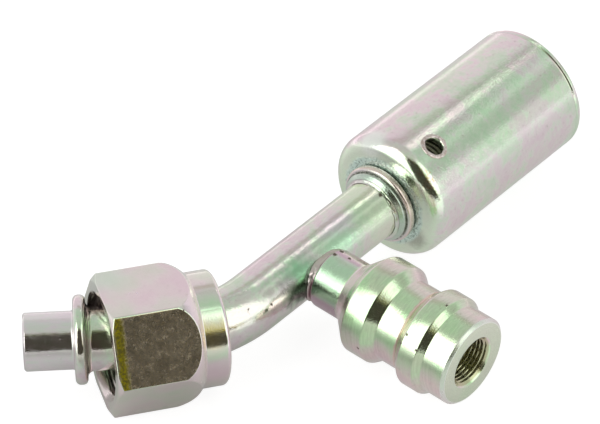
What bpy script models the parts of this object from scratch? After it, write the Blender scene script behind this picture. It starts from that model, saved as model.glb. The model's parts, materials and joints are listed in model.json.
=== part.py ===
"""Crimp hose fitting: bent tube, captive swivel nut, crimp shell on a barbed stem, and a side service port.

Units are metres, +Z up. Four axes place the pieces: the shell's, the pilot's, the port's and the nut's own.
The first three lie in the plane of the bend. The whole fitting is then laid down on its three lowest points.
"""
import math

import bmesh
import bpy
import numpy as np
from mathutils import Matrix, Vector

MM = 0.001

# Gaps between pieces
BRAZE_GAP = 0.06 * MM
JOINT_GAP = 0.10 * MM
RUNNING_GAP = 0.05 * MM
WELD = 1e-7
SMOOTH_BELOW = 32.0

# Sides of the round bodies
TUBE_SIDES = 32
STEM_SIDES = 28
SHELL_SIDES = 40
NUT_SIDES = 36
PORT_SIDES = 36
CORE_SIDES = 18
PIN_SIDES = 12

# Bent tube, measured along its centreline from the pilot's tip
TUBE_OD = 9.525 * MM
TUBE_WALL = 1.2 * MM
TIP_TO_BEAD = 8.45 * MM
BEAD_TO_BEND = 10.7 * MM
BEND_ANGLE = 46.5
BEND_RADIUS = 20.8 * MM
BEND_STEPS = 12
BEND_TO_PORT = 12.0 * MM
PORT_TO_STEM = 16.1 * MM

# Pilot and its upset bead
PILOT_OD = 8.75 * MM
PILOT_WALL = 1.15 * MM
PILOT_CHAMFER = 0.4 * MM
BEAD_OD = 13.4 * MM
BEAD_WIDTH = 1.9 * MM
BEAD_FRONT_FILLET = 0.35 * MM
BEAD_REAR_FILLET = 0.9 * MM

# Hose stem, measured from the mouth of its tube socket
SOCKET_DEPTH = 5.0 * MM
COLLAR_OD = 11.7 * MM
COLLAR_LENGTH = 0.85 * MM
COLLAR_EDGE = 0.55 * MM
NECK_OD = 11.3 * MM
NECK_RING_OD = 13.0 * MM
NECK_RING_START = 1.1 * MM
NECK_RING_WIDTH = 1.2 * MM
JOURNAL_OD = 11.9 * MM
MOUTH_TO_SHELL = 2.6 * MM
FLANGE_OD = 14.0 * MM
FLANGE_WIDTH = 1.3 * MM
NIPPLE_OD = 8.0 * MM
BARB_OD = 8.8 * MM
BARB_COUNT = 4
BARB_PITCH = 6.0 * MM
BARB_RAMP = 2.6 * MM
BARB_LAND = 0.7 * MM
FIRST_BARB = 3.2 * MM
STEM_BORE = 5.8 * MM
NIPPLE_TIP_CHAMFER = 0.5 * MM
TIP_INSIDE_SHELL = 1.5 * MM

# Crimp shell
SHELL_OD = 21.0 * MM
SHELL_WALL = 1.15 * MM
SHELL_LENGTH = 35.85 * MM
SHELL_SHOULDER = 2.6 * MM
SHELL_DISH = 0.35 * MM
SHELL_NECK_EDGE = 0.4 * MM
SHELL_END_CHAMFER = 0.45 * MM
SHELL_MOUTH_CHAMFER = 0.3 * MM
SIGHT_HOLE_OD = 3.2 * MM
SIGHT_HOLE_AT = 6.35 * MM
SIGHT_HOLE_TURN = 27.5
SIGHT_HOLES = 2
HOLE_MARGIN = 0.5 * MM

# Swivel nut, measured from its front face
HEXAGON = 6
NUT_FLATS = 19.05 * MM
NUT_HEX_LENGTH = 13.8 * MM
NUT_COLLAR_OD = 17.5 * MM
NUT_COLLAR_LENGTH = 3.9 * MM
NUT_COLLAR_CHAMFER = 0.75 * MM
NUT_BLANK_MARGIN = 0.05 * MM
NUT_FRONT_CHAMFER_ANGLE = 61.0
NUT_FRONT_OD = 19.8 * MM
NUT_REAR_ROUND = 6.0 * MM
NUT_THREAD_OD = 15.875 * MM
NUT_MOUTH_CHAMFER = 0.4 * MM
NUT_THREAD_LENGTH = 10.6 * MM
NUT_RELIEF = 0.15 * MM
NUT_WALL = 3.6 * MM
NUT_SEAT_LENGTH = 1.4 * MM
NUT_BORE = 10.8 * MM
NUT_BORE_CHAMFER = 0.6 * MM

# How the loose nut lies on the tube
NUT_FROM_BEAD = 13.15 * MM
NUT_PIVOT = 10.4 * MM
NUT_TILT = 6.7
NUT_YAW = -2.5
NUT_SPIN = 28.7

# Service port, measured along its own axis from the boss's flat end
PORT_TILT = 3.3
PORT_SEAT = 0.24 * MM
SPIGOT_OD = 6.0 * MM
SPIGOT_INSIDE = 0.25 * MM
BOSS_OD = 9.55 * MM
BOSS_EDGE = 0.35 * MM
BOSS_LENGTH = 5.35 * MM
REAR_CONE = 3.4 * MM
RING_OD = 16.0 * MM
REAR_RING = 3.7 * MM
RING_TO_GROOVE = 1.65 * MM
GROOVE_OD = 13.3 * MM
GROOVE_LENGTH = 3.9 * MM
GROOVE_TO_RING = 1.4 * MM
FRONT_RING = 2.9 * MM
RING_TO_NOSE = 1.0 * MM
NOSE_OD = 14.3 * MM
NOSE_LENGTH = 4.25 * MM
NOSE_CHAMFER = 0.4 * MM
RING_EDGE = 0.3 * MM

# Bores of the port, measured from its nose face
CAP_THREAD_OD = 8.0 * MM
CAP_THREAD_LENGTH = 9.0 * MM
CAP_CHAMFER = 0.25 * MM
CORE_THREAD_OD = 5.3 * MM
CORE_THREAD_LENGTH = 5.6 * MM
CORE_TAPER_LENGTH = 1.1 * MM
BARREL_BORE = 4.3 * MM
FEED_BORE = 3.6 * MM

# Valve core
PLUG_LENGTH = 4.9 * MM
PLUG_RECESS = 0.3 * MM
PLUG_HEAD_LENGTH = 1.5 * MM
PLUG_HEAD_WIDTH = 2.6 * MM
BARREL_OD = 3.7 * MM
BARREL_WALL = 0.35 * MM
BARREL_LENGTH = 7.2 * MM
BARREL_COLLAR_LENGTH = 0.9 * MM
BARREL_FLOOR = 0.5 * MM
BARREL_COLLAR_OD = 4.2 * MM
GASKET_SKIRT = 0.5 * MM
PIN_OD = 1.1 * MM
PIN_PROUD = 0.2 * MM
PIN_COLLAR_OD = 2.3 * MM
PIN_COLLAR_LENGTH = 0.5 * MM
PIN_TRAVEL = 1.2 * MM
CUP_CLEARANCE = 0.3 * MM
CUP_OD = 3.2 * MM
CUP_WALL = 0.3 * MM
CUP_LENGTH = 1.4 * MM
SEAL_THICKNESS = 0.8 * MM
SEAL_PROUD = 0.2 * MM
FLOOR_HOLE = 1.6 * MM
SPRING_OD = 2.7 * MM
SPRING_WIRE = 0.32 * MM
SPRING_TURNS = 6
SPRING_STEPS = 14
WIRE_SIDES = 6

# Filler at the two brazed joints
STEM_FILLET = 0.5 * MM
STEM_FILLET_EDGE = 15.0
PORT_FILLER_REACH = 0.35 * MM
PORT_FILLER_INSET = 0.3 * MM
PORT_FILLER_HUG = 0.74
PORT_FILLER_STEPS = 4

# Laying the fitting down
CONTACT_PASSES = 20

TUBE_RADIUS = TUBE_OD / 2
BEND_TURN = math.radians(BEND_ANGLE)
APEX_TO_BEND = BEND_RADIUS * math.tan(BEND_TURN / 2)
TIP_TO_BEND = TIP_TO_BEAD + BEAD_TO_BEND
BEND_LENGTH = BEND_RADIUS * BEND_TURN
PORT_AT = APEX_TO_BEND + BEND_TO_PORT
STEM_AT = PORT_AT + PORT_TO_STEM
SHELL_AT = STEM_AT + MOUTH_TO_SHELL
TUBE_LENGTH = TIP_TO_BEND + BEND_LENGTH + STEM_AT - APEX_TO_BEND + SOCKET_DEPTH - JOINT_GAP
BOSS_AT = TUBE_RADIUS + PORT_SEAT
PORT_LENGTH = (
    BOSS_LENGTH + REAR_CONE + REAR_RING + RING_TO_GROOVE + GROOVE_LENGTH
    + GROOVE_TO_RING + FRONT_RING + RING_TO_NOSE + NOSE_LENGTH
)
NOSE_AT = BOSS_AT + PORT_LENGTH
CORE_TOP = NOSE_AT - CAP_THREAD_LENGTH - (CAP_THREAD_OD - CORE_THREAD_OD) / 2
CORE_SEAT = CORE_TOP - CORE_THREAD_LENGTH
PLUG_TOP = CORE_TOP - PLUG_RECESS
PLUG_BASE = PLUG_TOP - PLUG_LENGTH
BARREL_TOP = PLUG_BASE - JOINT_GAP
BARREL_BASE = BARREL_TOP - BARREL_LENGTH
SEAL_TOP = BARREL_BASE - JOINT_GAP
CUP_TOP = SEAL_TOP - SEAL_PROUD
CUP_BASE = CUP_TOP - CUP_LENGTH

SHELL_DIRECTION = Vector((1.0, 0.0, 0.0))
PILOT_DIRECTION = Vector((-math.cos(BEND_TURN), math.sin(BEND_TURN), 0.0))
PLANE_NORMAL = Vector((0.0, 0.0, 1.0))
BEND_CENTRE = Vector((APEX_TO_BEND, BEND_RADIUS, 0.0))


def material(name, colour, metallic, roughness):
    """A plain shader for one sub-part."""
    made = bpy.data.materials.new(name)
    made.use_nodes = True
    shader = made.node_tree.nodes["Principled BSDF"]
    shader.inputs["Base Color"].default_value = (*colour, 1.0)
    shader.inputs["Metallic"].default_value = metallic
    shader.inputs["Roughness"].default_value = roughness
    made.diffuse_color = (*colour, 1.0)
    return made


def empty(name, parent, matrix):
    """An empty that carries pieces; its Z axis is the axis that they share."""
    made = bpy.data.objects.new(name, None)
    bpy.context.scene.collection.objects.link(made)
    made.parent = parent
    made.matrix_local = matrix
    return made


def axis_matrix(origin, direction):
    """A frame with Z along a direction and X as near to the bend plane's normal as it can be."""
    z_axis = direction.normalized()
    x_axis = (PLANE_NORMAL - z_axis * PLANE_NORMAL.dot(z_axis)).normalized()
    y_axis = z_axis.cross(x_axis)
    turn = Matrix((x_axis, y_axis, z_axis)).transposed()
    return Matrix.Translation(origin) @ turn.to_4x4()


def finish(name, body, frame, look):
    """Turns a bmesh into a named object under a frame, smooth where its faces run on."""
    bmesh.ops.remove_doubles(body, verts=body.verts, dist=WELD)
    bmesh.ops.recalc_face_normals(body, faces=body.faces)
    mesh = bpy.data.meshes.new(name)
    body.to_mesh(mesh)
    body.free()
    mesh.shade_smooth()
    mesh.set_sharp_from_angle(angle=math.radians(SMOOTH_BELOW))
    made = bpy.data.objects.new(name, mesh)
    bpy.context.scene.collection.objects.link(made)
    made.parent = frame
    if look:
        mesh.materials.append(look)
    return made


def cutter(made):
    """Marks an object as a cutting body that isn't part of the fitting."""
    made.hide_render = True
    made.display_type = "WIRE"
    return made


def cut(target, tool, operation="DIFFERENCE"):
    """Adds an exact Boolean to an object."""
    step = target.modifiers.new(tool.name, "BOOLEAN")
    step.operation = operation
    step.solver = "EXACT"
    step.object = tool


def turned(name, outline, frame, look, sides):
    """A turned body about its frame's Z axis, from a closed outline of (height, radius) points."""
    body = bmesh.new()
    points = [body.verts.new((radius, 0.0, height)) for height, radius in outline]
    edges = []
    for here, there in zip(points, points[1:] + points[:1]):
        if here.co.x or there.co.x:
            edges.append(body.edges.new((here, there)))
    bmesh.ops.spin(
        body, geom=edges, axis=(0.0, 0.0, 1.0), cent=(0.0, 0.0, 0.0),
        angle=2.0 * math.pi, steps=sides, use_merge=True,
    )
    return finish(name, body, frame, look)


def lofted(name, rings, frame, look):
    """A closed body through a loop of rings with the same number of points."""
    body = bmesh.new()
    made = [[body.verts.new(point) for point in ring] for ring in rings]
    for here, there in zip(made, made[1:] + made[:1]):
        for k in range(len(here)):
            n = (k + 1) % len(here)
            body.faces.new((here[k], here[n], there[n], there[k]))
    return finish(name, body, frame, look)


def arc(height, radius, size, start, end, steps):
    """Points of an arc in the (height, radius) plane, with angles in degrees from the height's direction."""
    turns = np.radians(np.linspace(start, end, steps + 1))
    return [(height + size * math.cos(turn), radius + size * math.sin(turn)) for turn in turns]


def centreline(distance):
    """Point and direction of the tube's centreline at a distance from the pilot's tip."""
    if distance < TIP_TO_BEND:
        return PILOT_DIRECTION * (APEX_TO_BEND + TIP_TO_BEND - distance), -PILOT_DIRECTION
    if distance < TIP_TO_BEND + BEND_LENGTH:
        turn = BEND_TURN - (distance - TIP_TO_BEND) / BEND_RADIUS
        point = BEND_CENTRE - BEND_RADIUS * Vector((math.sin(turn), math.cos(turn), 0.0))
        return point, Vector((math.cos(turn), -math.sin(turn), 0.0))
    return SHELL_DIRECTION * (APEX_TO_BEND + distance - TIP_TO_BEND - BEND_LENGTH), SHELL_DIRECTION


def tube_ring(distance, radius):
    """A ring of points about the centreline."""
    point, direction = centreline(distance)
    side = direction.cross(PLANE_NORMAL)
    turns = [2.0 * math.pi * k / TUBE_SIDES for k in range(TUBE_SIDES)]
    return [point + radius * (math.cos(turn) * PLANE_NORMAL + math.sin(turn) * side) for turn in turns]


def bent_tube(frame, port_frame, look):
    """The tube with its reduced pilot, upset bead, bend and cross hole."""
    pilot = PILOT_OD / 2
    half = BEAD_WIDTH / 2
    rim = BEAD_OD / 2 - half
    front = TIP_TO_BEAD - half
    rear = TIP_TO_BEAD + half
    outside = [(0.0, pilot - PILOT_CHAMFER), (PILOT_CHAMFER, pilot)]
    outside += arc(front - BEAD_FRONT_FILLET, pilot + BEAD_FRONT_FILLET, BEAD_FRONT_FILLET, 270.0, 360.0, 2)
    outside += arc(TIP_TO_BEAD, rim, half, 180.0, 0.0, 6)
    fillet = BEAD_REAR_FILLET
    outside += arc(rear + fillet, TUBE_RADIUS + fillet, fillet, 180.0, 270.0, 3)
    bend = [TIP_TO_BEND + BEND_LENGTH * k / BEND_STEPS for k in range(BEND_STEPS + 1)]
    hole = SPIGOT_OD / 2 + BRAZE_GAP
    port = TIP_TO_BEND + BEND_LENGTH + BEND_TO_PORT
    straight = [port - hole - HOLE_MARGIN, port + hole + HOLE_MARGIN, TUBE_LENGTH]
    outside += [(distance, TUBE_RADIUS) for distance in bend + straight]
    bore = TUBE_RADIUS - TUBE_WALL
    pilot_bore = pilot - PILOT_WALL
    inside = [(0.0, pilot_bore), (front, pilot_bore), (rear, bore)]
    inside += [(distance, bore) for distance in bend + straight]
    made = lofted("bent_tube", [tube_ring(*station) for station in outside + inside[::-1]], frame, look)
    outline = [(0.0, 0.0), (0.0, hole), (TUBE_OD, hole), (TUBE_OD, 0.0)]
    drill = turned("port_hole_cutter", outline, port_frame, None, CORE_SIDES)
    cut(made, cutter(drill))
    return made


def stem_outline():
    """Outside of the hose stem from its mouth to its tip, then back through its bore."""
    collar = COLLAR_OD / 2
    neck = NECK_OD / 2
    ring = NECK_RING_WIDTH / 2
    journal = JOURNAL_OD / 2
    flange_at = MOUTH_TO_SHELL + SHELL_DISH + SHELL_WALL + JOINT_GAP
    nipple_at = flange_at + FLANGE_WIDTH
    nipple = NIPPLE_OD / 2
    tip = MOUTH_TO_SHELL + SHELL_LENGTH - TIP_INSIDE_SHELL
    socket = TUBE_RADIUS + BRAZE_GAP
    outline = [(0.0, collar - COLLAR_EDGE), (COLLAR_EDGE, collar), (COLLAR_LENGTH, collar)]
    outline += [(COLLAR_LENGTH, neck), (NECK_RING_START, neck)]
    outline += arc(NECK_RING_START + ring, NECK_RING_OD / 2 - ring, ring, 180.0, 0.0, 6)
    outline.append((NECK_RING_START + NECK_RING_WIDTH, journal))
    outline += [(flange_at, journal), (flange_at, FLANGE_OD / 2)]
    outline += [(nipple_at, FLANGE_OD / 2), (nipple_at, nipple)]
    for k in range(BARB_COUNT):
        barb = nipple_at + FIRST_BARB + k * BARB_PITCH
        outline += [(barb, nipple), (barb, BARB_OD / 2), (barb + BARB_LAND, BARB_OD / 2)]
        outline.append((barb + BARB_LAND + BARB_RAMP, nipple))
    outline += [(tip - NIPPLE_TIP_CHAMFER, nipple), (tip, nipple - NIPPLE_TIP_CHAMFER)]
    outline += [(tip, STEM_BORE / 2), (SOCKET_DEPTH, STEM_BORE / 2), (SOCKET_DEPTH, socket), (0.0, socket)]
    return outline


def shell_outline():
    """Section of the drawn shell from its neck hole over the shoulder to its open end, and back inside."""
    outer = SHELL_OD / 2
    inner = outer - SHELL_WALL
    hole = JOURNAL_OD / 2 + JOINT_GAP
    shoulder_r = outer - SHELL_SHOULDER
    inside_shoulder = SHELL_SHOULDER - SHELL_WALL
    before = SIGHT_HOLE_AT - SIGHT_HOLE_OD / 2 - HOLE_MARGIN
    after = SIGHT_HOLE_AT + SIGHT_HOLE_OD / 2 + HOLE_MARGIN
    outline = arc(SHELL_NECK_EDGE, hole + SHELL_NECK_EDGE, SHELL_NECK_EDGE, 270.0, 180.0, 2)
    outline += arc(SHELL_DISH + SHELL_SHOULDER, shoulder_r, SHELL_SHOULDER, 180.0, 90.0, 6)
    outline += [(before, outer), (after, outer)]
    outline += [(SHELL_LENGTH - SHELL_END_CHAMFER, outer), (SHELL_LENGTH, outer - SHELL_END_CHAMFER)]
    outline += [(SHELL_LENGTH, inner + SHELL_MOUTH_CHAMFER), (SHELL_LENGTH - SHELL_MOUTH_CHAMFER, inner)]
    outline += [(after, inner), (before, inner)]
    outline += arc(SHELL_DISH + SHELL_SHOULDER, shoulder_r, inside_shoulder, 90.0, 180.0, 3)
    outline.append((SHELL_DISH + SHELL_WALL, hole))
    return outline


def crimp_shell(frame, look):
    """The crimp shell with its sight holes drilled across."""
    made = turned("crimp_shell", shell_outline(), frame, look, SHELL_SIDES)
    for k in range(SIGHT_HOLES):
        turn = math.radians(SIGHT_HOLE_TURN + 360.0 * k / SIGHT_HOLES)
        outward = Vector((math.cos(turn), math.sin(turn), 0.0))
        facing = outward.to_track_quat("Z", "Y").to_matrix().to_4x4()
        place = Matrix.Translation((0.0, 0.0, SIGHT_HOLE_AT)) @ facing
        hole_frame = empty(f"sight_hole_axis_{k}", frame, place)
        hole = SIGHT_HOLE_OD / 2
        low = SHELL_OD / 2 - 2.0 * SHELL_WALL
        outline = [(low, 0.0), (low, hole), (SHELL_OD, hole), (SHELL_OD, 0.0)]
        cut(made, cutter(turned(f"sight_hole_cutter_{k}", outline, hole_frame, None, CORE_SIDES)))
    return made


def nut_outline():
    """Section of the nut's turned blank from its front face, with the pivot at height zero."""
    corner = NUT_FLATS / math.sqrt(3.0)
    blank = corner + NUT_BLANK_MARGIN
    collar = NUT_COLLAR_OD / 2
    front = -NUT_PIVOT
    hex_end = front + NUT_HEX_LENGTH
    end = hex_end + NUT_COLLAR_LENGTH
    front_chamfer = (blank - NUT_FRONT_OD / 2) / math.tan(math.radians(NUT_FRONT_CHAMFER_ANGLE))
    round_centre = blank - NUT_REAR_ROUND
    round_end = math.asin((collar - round_centre) / NUT_REAR_ROUND)
    round_at = hex_end - NUT_REAR_ROUND * math.cos(round_end)
    thread = NUT_THREAD_OD / 2
    relief = thread + NUT_RELIEF
    thread_end = front + NUT_THREAD_LENGTH
    bore = NUT_BORE / 2
    outline = [(front, NUT_FRONT_OD / 2), (front + front_chamfer, blank)]
    outline += arc(round_at, round_centre, NUT_REAR_ROUND, 90.0, math.degrees(round_end), 5)
    outline += [(end - NUT_COLLAR_CHAMFER, collar), (end, collar - NUT_COLLAR_CHAMFER)]
    outline += [(end, bore + NUT_BORE_CHAMFER), (end - NUT_BORE_CHAMFER, bore), (end - NUT_WALL, bore)]
    outline += [(end - NUT_WALL - NUT_SEAT_LENGTH, relief), (thread_end, relief)]
    outline += [(thread_end - NUT_RELIEF, thread), (front + NUT_MOUTH_CHAMFER, thread)]
    outline.append((front, thread + NUT_MOUTH_CHAMFER))
    return outline


def swivel_nut(frame, look):
    """The hexagon nut: its turned blank cut to six flats."""
    made = turned("swivel_nut", nut_outline(), frame, look, NUT_SIDES)
    corner = NUT_FLATS / math.sqrt(3.0)
    reach = NUT_HEX_LENGTH + NUT_COLLAR_LENGTH
    flats_frame = empty("nut_flats_axis", frame, Matrix.Rotation(math.radians(NUT_SPIN), 4, "Z"))
    outline = [(-reach, 0.0), (-reach, corner), (reach, corner), (reach, 0.0)]
    cut(made, cutter(turned("hexagon_cutter", outline, flats_frame, None, HEXAGON)), "INTERSECT")
    return made


def port_outline():
    """Section of the service port from its spigot to its nose, and back through its stepped bore."""
    boss = BOSS_OD / 2
    ring = RING_OD / 2
    groove = GROOVE_OD / 2
    nose = NOSE_OD / 2
    spigot_end = TUBE_RADIUS - TUBE_WALL + SPIGOT_INSIDE
    at = BOSS_AT
    outline = [(spigot_end, SPIGOT_OD / 2), (at, SPIGOT_OD / 2), (at, boss - BOSS_EDGE)]
    outline += arc(at + BOSS_EDGE, boss - BOSS_EDGE, BOSS_EDGE, 180.0, 90.0, 2)[1:]
    at += BOSS_LENGTH
    outline.append((at, boss))
    at += REAR_CONE
    outline += [(at - RING_EDGE, ring - RING_EDGE), (at + RING_EDGE, ring)]
    at += REAR_RING
    outline += [(at - RING_EDGE, ring), (at + RING_EDGE, ring - RING_EDGE)]
    at += RING_TO_GROOVE
    outline.append((at, groove))
    at += GROOVE_LENGTH
    outline.append((at, groove))
    at += GROOVE_TO_RING
    outline += [(at - RING_EDGE, ring - RING_EDGE), (at + RING_EDGE, ring)]
    at += FRONT_RING
    outline += [(at - RING_EDGE, ring), (at + RING_EDGE, ring - RING_EDGE)]
    at += RING_TO_NOSE
    outline.append((at, nose))
    outline += [(NOSE_AT - NOSE_CHAMFER, nose), (NOSE_AT, nose - NOSE_CHAMFER)]
    cap = CAP_THREAD_OD / 2
    core = CORE_THREAD_OD / 2
    barrel = BARREL_BORE / 2
    feed = FEED_BORE / 2
    at = NOSE_AT - CAP_THREAD_LENGTH
    outline += [(NOSE_AT, cap + CAP_CHAMFER), (NOSE_AT - CAP_CHAMFER, cap)]
    outline += [(at, cap), (at - cap + core, core)]
    outline += [(CORE_SEAT, core), (CORE_SEAT - CORE_TAPER_LENGTH, barrel)]
    at = CUP_BASE - PIN_TRAVEL - CUP_CLEARANCE
    outline += [(at, barrel), (at - barrel + feed, feed), (spigot_end, feed)]
    return outline


def below_core_top(outline):
    """The same outline, measured from the top of the core's thread."""
    return [(height - CORE_TOP, radius) for height, radius in outline]


def valve_core(frame, pin_frame, looks):
    """The valve core: plug, barrel, gasket, pin, cup, seal and spring, all on the port's axis."""
    brass, plastic, rubber, steel = looks
    pin = PIN_OD / 2
    pin_bore = pin + RUNNING_GAP
    plug = CORE_THREAD_OD / 2 - JOINT_GAP
    outline = [(PLUG_BASE, pin_bore), (PLUG_BASE, plug - JOINT_GAP), (PLUG_BASE + JOINT_GAP, plug)]
    outline += [(PLUG_TOP - JOINT_GAP, plug), (PLUG_TOP, plug - JOINT_GAP), (PLUG_TOP, pin_bore)]
    head = turned("valve_core_plug", outline, frame, brass, CORE_SIDES)
    for name, side in (("plug_flat_cutter_left", -1.0), ("plug_flat_cutter_right", 1.0)):
        reach = side * (CORE_THREAD_OD + PLUG_HEAD_WIDTH) / 2
        body = bmesh.new()
        bmesh.ops.create_cube(body, size=1.0)
        bmesh.ops.scale(body, verts=body.verts, vec=(CORE_THREAD_OD, CORE_THREAD_OD, 2.0 * PLUG_HEAD_LENGTH))
        bmesh.ops.translate(body, verts=body.verts, vec=(0.0, reach, PLUG_TOP))
        cut(head, cutter(finish(name, body, frame, None)))

    barrel = BARREL_OD / 2
    inside = barrel - BARREL_WALL
    collar = BARREL_COLLAR_OD / 2
    collar_base = BARREL_TOP - BARREL_COLLAR_LENGTH
    floor = BARREL_BASE + BARREL_FLOOR
    outline = [(BARREL_BASE, FLOOR_HOLE / 2), (BARREL_BASE, barrel), (collar_base, barrel)]
    outline += [(collar_base, collar), (BARREL_TOP, collar), (BARREL_TOP, inside), (floor, inside)]
    outline.append((floor, FLOOR_HOLE / 2))
    turned("valve_core_barrel", outline, frame, brass, CORE_SIDES)

    neck = CORE_SEAT - CORE_TAPER_LENGTH
    ring = barrel + BRAZE_GAP
    foot = BARREL_BORE / 2 - BRAZE_GAP
    gasket_top = collar_base - BRAZE_GAP
    slope = (CORE_THREAD_OD - BARREL_BORE) / 2 / CORE_TAPER_LENGTH
    grip = foot + slope * (gasket_top - neck)
    outline = [(neck - GASKET_SKIRT, ring), (neck - GASKET_SKIRT, foot), (neck, foot), (gasket_top, grip)]
    outline.append((gasket_top, ring))
    turned("barrel_gasket", outline, frame, plastic, CORE_SIDES)

    pin_top = PLUG_TOP + PIN_PROUD
    collar_top = BARREL_TOP - JOINT_GAP
    stop = collar_top - PIN_COLLAR_LENGTH
    pin_base = CUP_BASE + CUP_WALL + JOINT_GAP
    outline = [(pin_base, 0.0), (pin_base, pin), (stop, pin), (stop, PIN_COLLAR_OD / 2)]
    outline += [(collar_top, PIN_COLLAR_OD / 2), (collar_top, pin), (pin_top, pin), (pin_top, 0.0)]
    turned("valve_pin", below_core_top(outline), pin_frame, brass, PIN_SIDES)

    cup = CUP_OD / 2
    outline = [(CUP_BASE, 0.0), (CUP_BASE, cup), (CUP_TOP, cup), (CUP_TOP, cup - CUP_WALL)]
    outline += [(CUP_BASE + CUP_WALL, cup - CUP_WALL), (CUP_BASE + CUP_WALL, 0.0)]
    turned("valve_cup", below_core_top(outline), pin_frame, brass, CORE_SIDES)

    seal = cup - CUP_WALL - BRAZE_GAP
    base = SEAL_TOP - SEAL_THICKNESS
    outline = [(base, pin_bore), (base, seal), (SEAL_TOP, seal), (SEAL_TOP, pin_bore)]
    turned("valve_cup_seal", below_core_top(outline), pin_frame, rubber, CORE_SIDES)

    valve_spring(frame, floor + BRAZE_GAP, stop - BRAZE_GAP, steel)


def valve_spring(frame, base, top, look):
    """A round wire coil between two heights, with its ends closed by caps."""
    wire = SPRING_WIRE / 2
    coil = SPRING_OD / 2 - wire
    steps = SPRING_TURNS * SPRING_STEPS
    rise = top - base - SPRING_WIRE
    body = bmesh.new()
    rings = []
    for k in range(steps + 1):
        turn = 2.0 * math.pi * k / SPRING_STEPS
        outward = Vector((math.cos(turn), math.sin(turn), 0.0))
        centre = outward * coil + PLANE_NORMAL * (base + wire + rise * k / steps)
        angles = [2.0 * math.pi * j / WIRE_SIDES for j in range(WIRE_SIDES)]
        points = [centre + wire * (math.cos(a) * outward + math.sin(a) * PLANE_NORMAL) for a in angles]
        rings.append([body.verts.new(point) for point in points])
    for here, there in zip(rings, rings[1:]):
        for k in range(WIRE_SIDES):
            n = (k + 1) % WIRE_SIDES
            body.faces.new((here[k], here[n], there[n], there[k]))
    body.faces.new(rings[0][::-1])
    body.faces.new(rings[-1])
    return finish("valve_spring", body, frame, look)


def stem_braze(frame, look):
    """Fillet of filler round the tube at the stem's mouth."""
    tube = TUBE_RADIUS + BRAZE_GAP
    centre = -BRAZE_GAP - STEM_FILLET
    outline = arc(centre, tube + STEM_FILLET, STEM_FILLET, 360.0, 270.0 + STEM_FILLET_EDGE, 3)
    outline += [(outline[-1][0], tube), (-BRAZE_GAP, tube)]
    return turned("stem_braze", outline, frame, look, TUBE_SIDES)


def port_braze(frame, look):
    """Filler between the boss's flat end and the round of the tube; it hugs the tube at its sides."""
    tube = TUBE_RADIUS + BRAZE_GAP
    spigot = SPIGOT_OD / 2 + BRAZE_GAP
    top = BOSS_AT - BRAZE_GAP
    lip = BOSS_OD / 2 - PORT_FILLER_INSET
    rings = []
    for k in range(TUBE_SIDES):
        turn = 2.0 * math.pi * k / TUBE_SIDES
        across = abs(math.cos(turn))
        reach = BOSS_OD / 2 + PORT_FILLER_REACH
        if across * reach > tube * PORT_FILLER_HUG:
            reach = tube * PORT_FILLER_HUG / across
        section = [(top, spigot), (top, lip)]
        for step in range(PORT_FILLER_STEPS + 1):
            radius = reach + (spigot - reach) * step / PORT_FILLER_STEPS
            section.append((math.sqrt(tube**2 - (radius * across) ** 2), radius))
        rings.append([Vector((r * math.cos(turn), r * math.sin(turn), h)) for h, r in section])
    return lofted("port_braze", rings, frame, look)


def nut_matrix():
    """Frame of the loose nut: on the tube's centreline, tilted from it, with Z towards the shell."""
    point, direction = centreline(TIP_TO_BEAD + NUT_FROM_BEAD)
    lean = Matrix.Rotation(math.radians(NUT_TILT), 3, "Z") @ direction
    yaw = math.radians(NUT_YAW)
    return axis_matrix(point, lean * math.cos(yaw) + PLANE_NORMAL * math.sin(yaw))


def world_points(objects):
    """Every vertex of the finished bodies, in the world."""
    graph = bpy.context.evaluated_depsgraph_get()
    found = []
    for made in objects:
        ready = made.evaluated_get(graph)
        found += [ready.matrix_world @ vertex.co for vertex in ready.data.vertices]
    return np.array(found)


def lay_down(root, shell, nut, port):
    """Turns the fitting so that shell, nut and port touch the floor, with the shell's axis over X."""
    feet_of = [world_points([made]) for made in (shell, nut, port)]
    up = np.array(PLANE_NORMAL)
    for _ in range(CONTACT_PASSES):
        feet = [points[np.argmin(points @ up)] for points in feet_of]
        normal = np.cross(feet[1] - feet[0], feet[2] - feet[0])
        up = normal / np.linalg.norm(normal) * np.sign(normal[2])
    z_axis = Vector(up)
    x_axis = (SHELL_DIRECTION - z_axis * SHELL_DIRECTION.dot(z_axis)).normalized()
    turn = Matrix((x_axis, z_axis.cross(x_axis), z_axis)).to_4x4()
    root.matrix_world = turn
    bpy.context.view_layer.update()
    bodies = [made for made in root.children_recursive if made.type == "MESH" and not made.hide_render]
    points = world_points(bodies)
    low = points.min(axis=0)
    high = points.max(axis=0)
    base = Vector(((low[0] + high[0]) / 2, (low[1] + high[1]) / 2, low[2]))
    root.matrix_world = Matrix.Translation(-base) @ turn
    bpy.context.view_layer.update()


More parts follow.
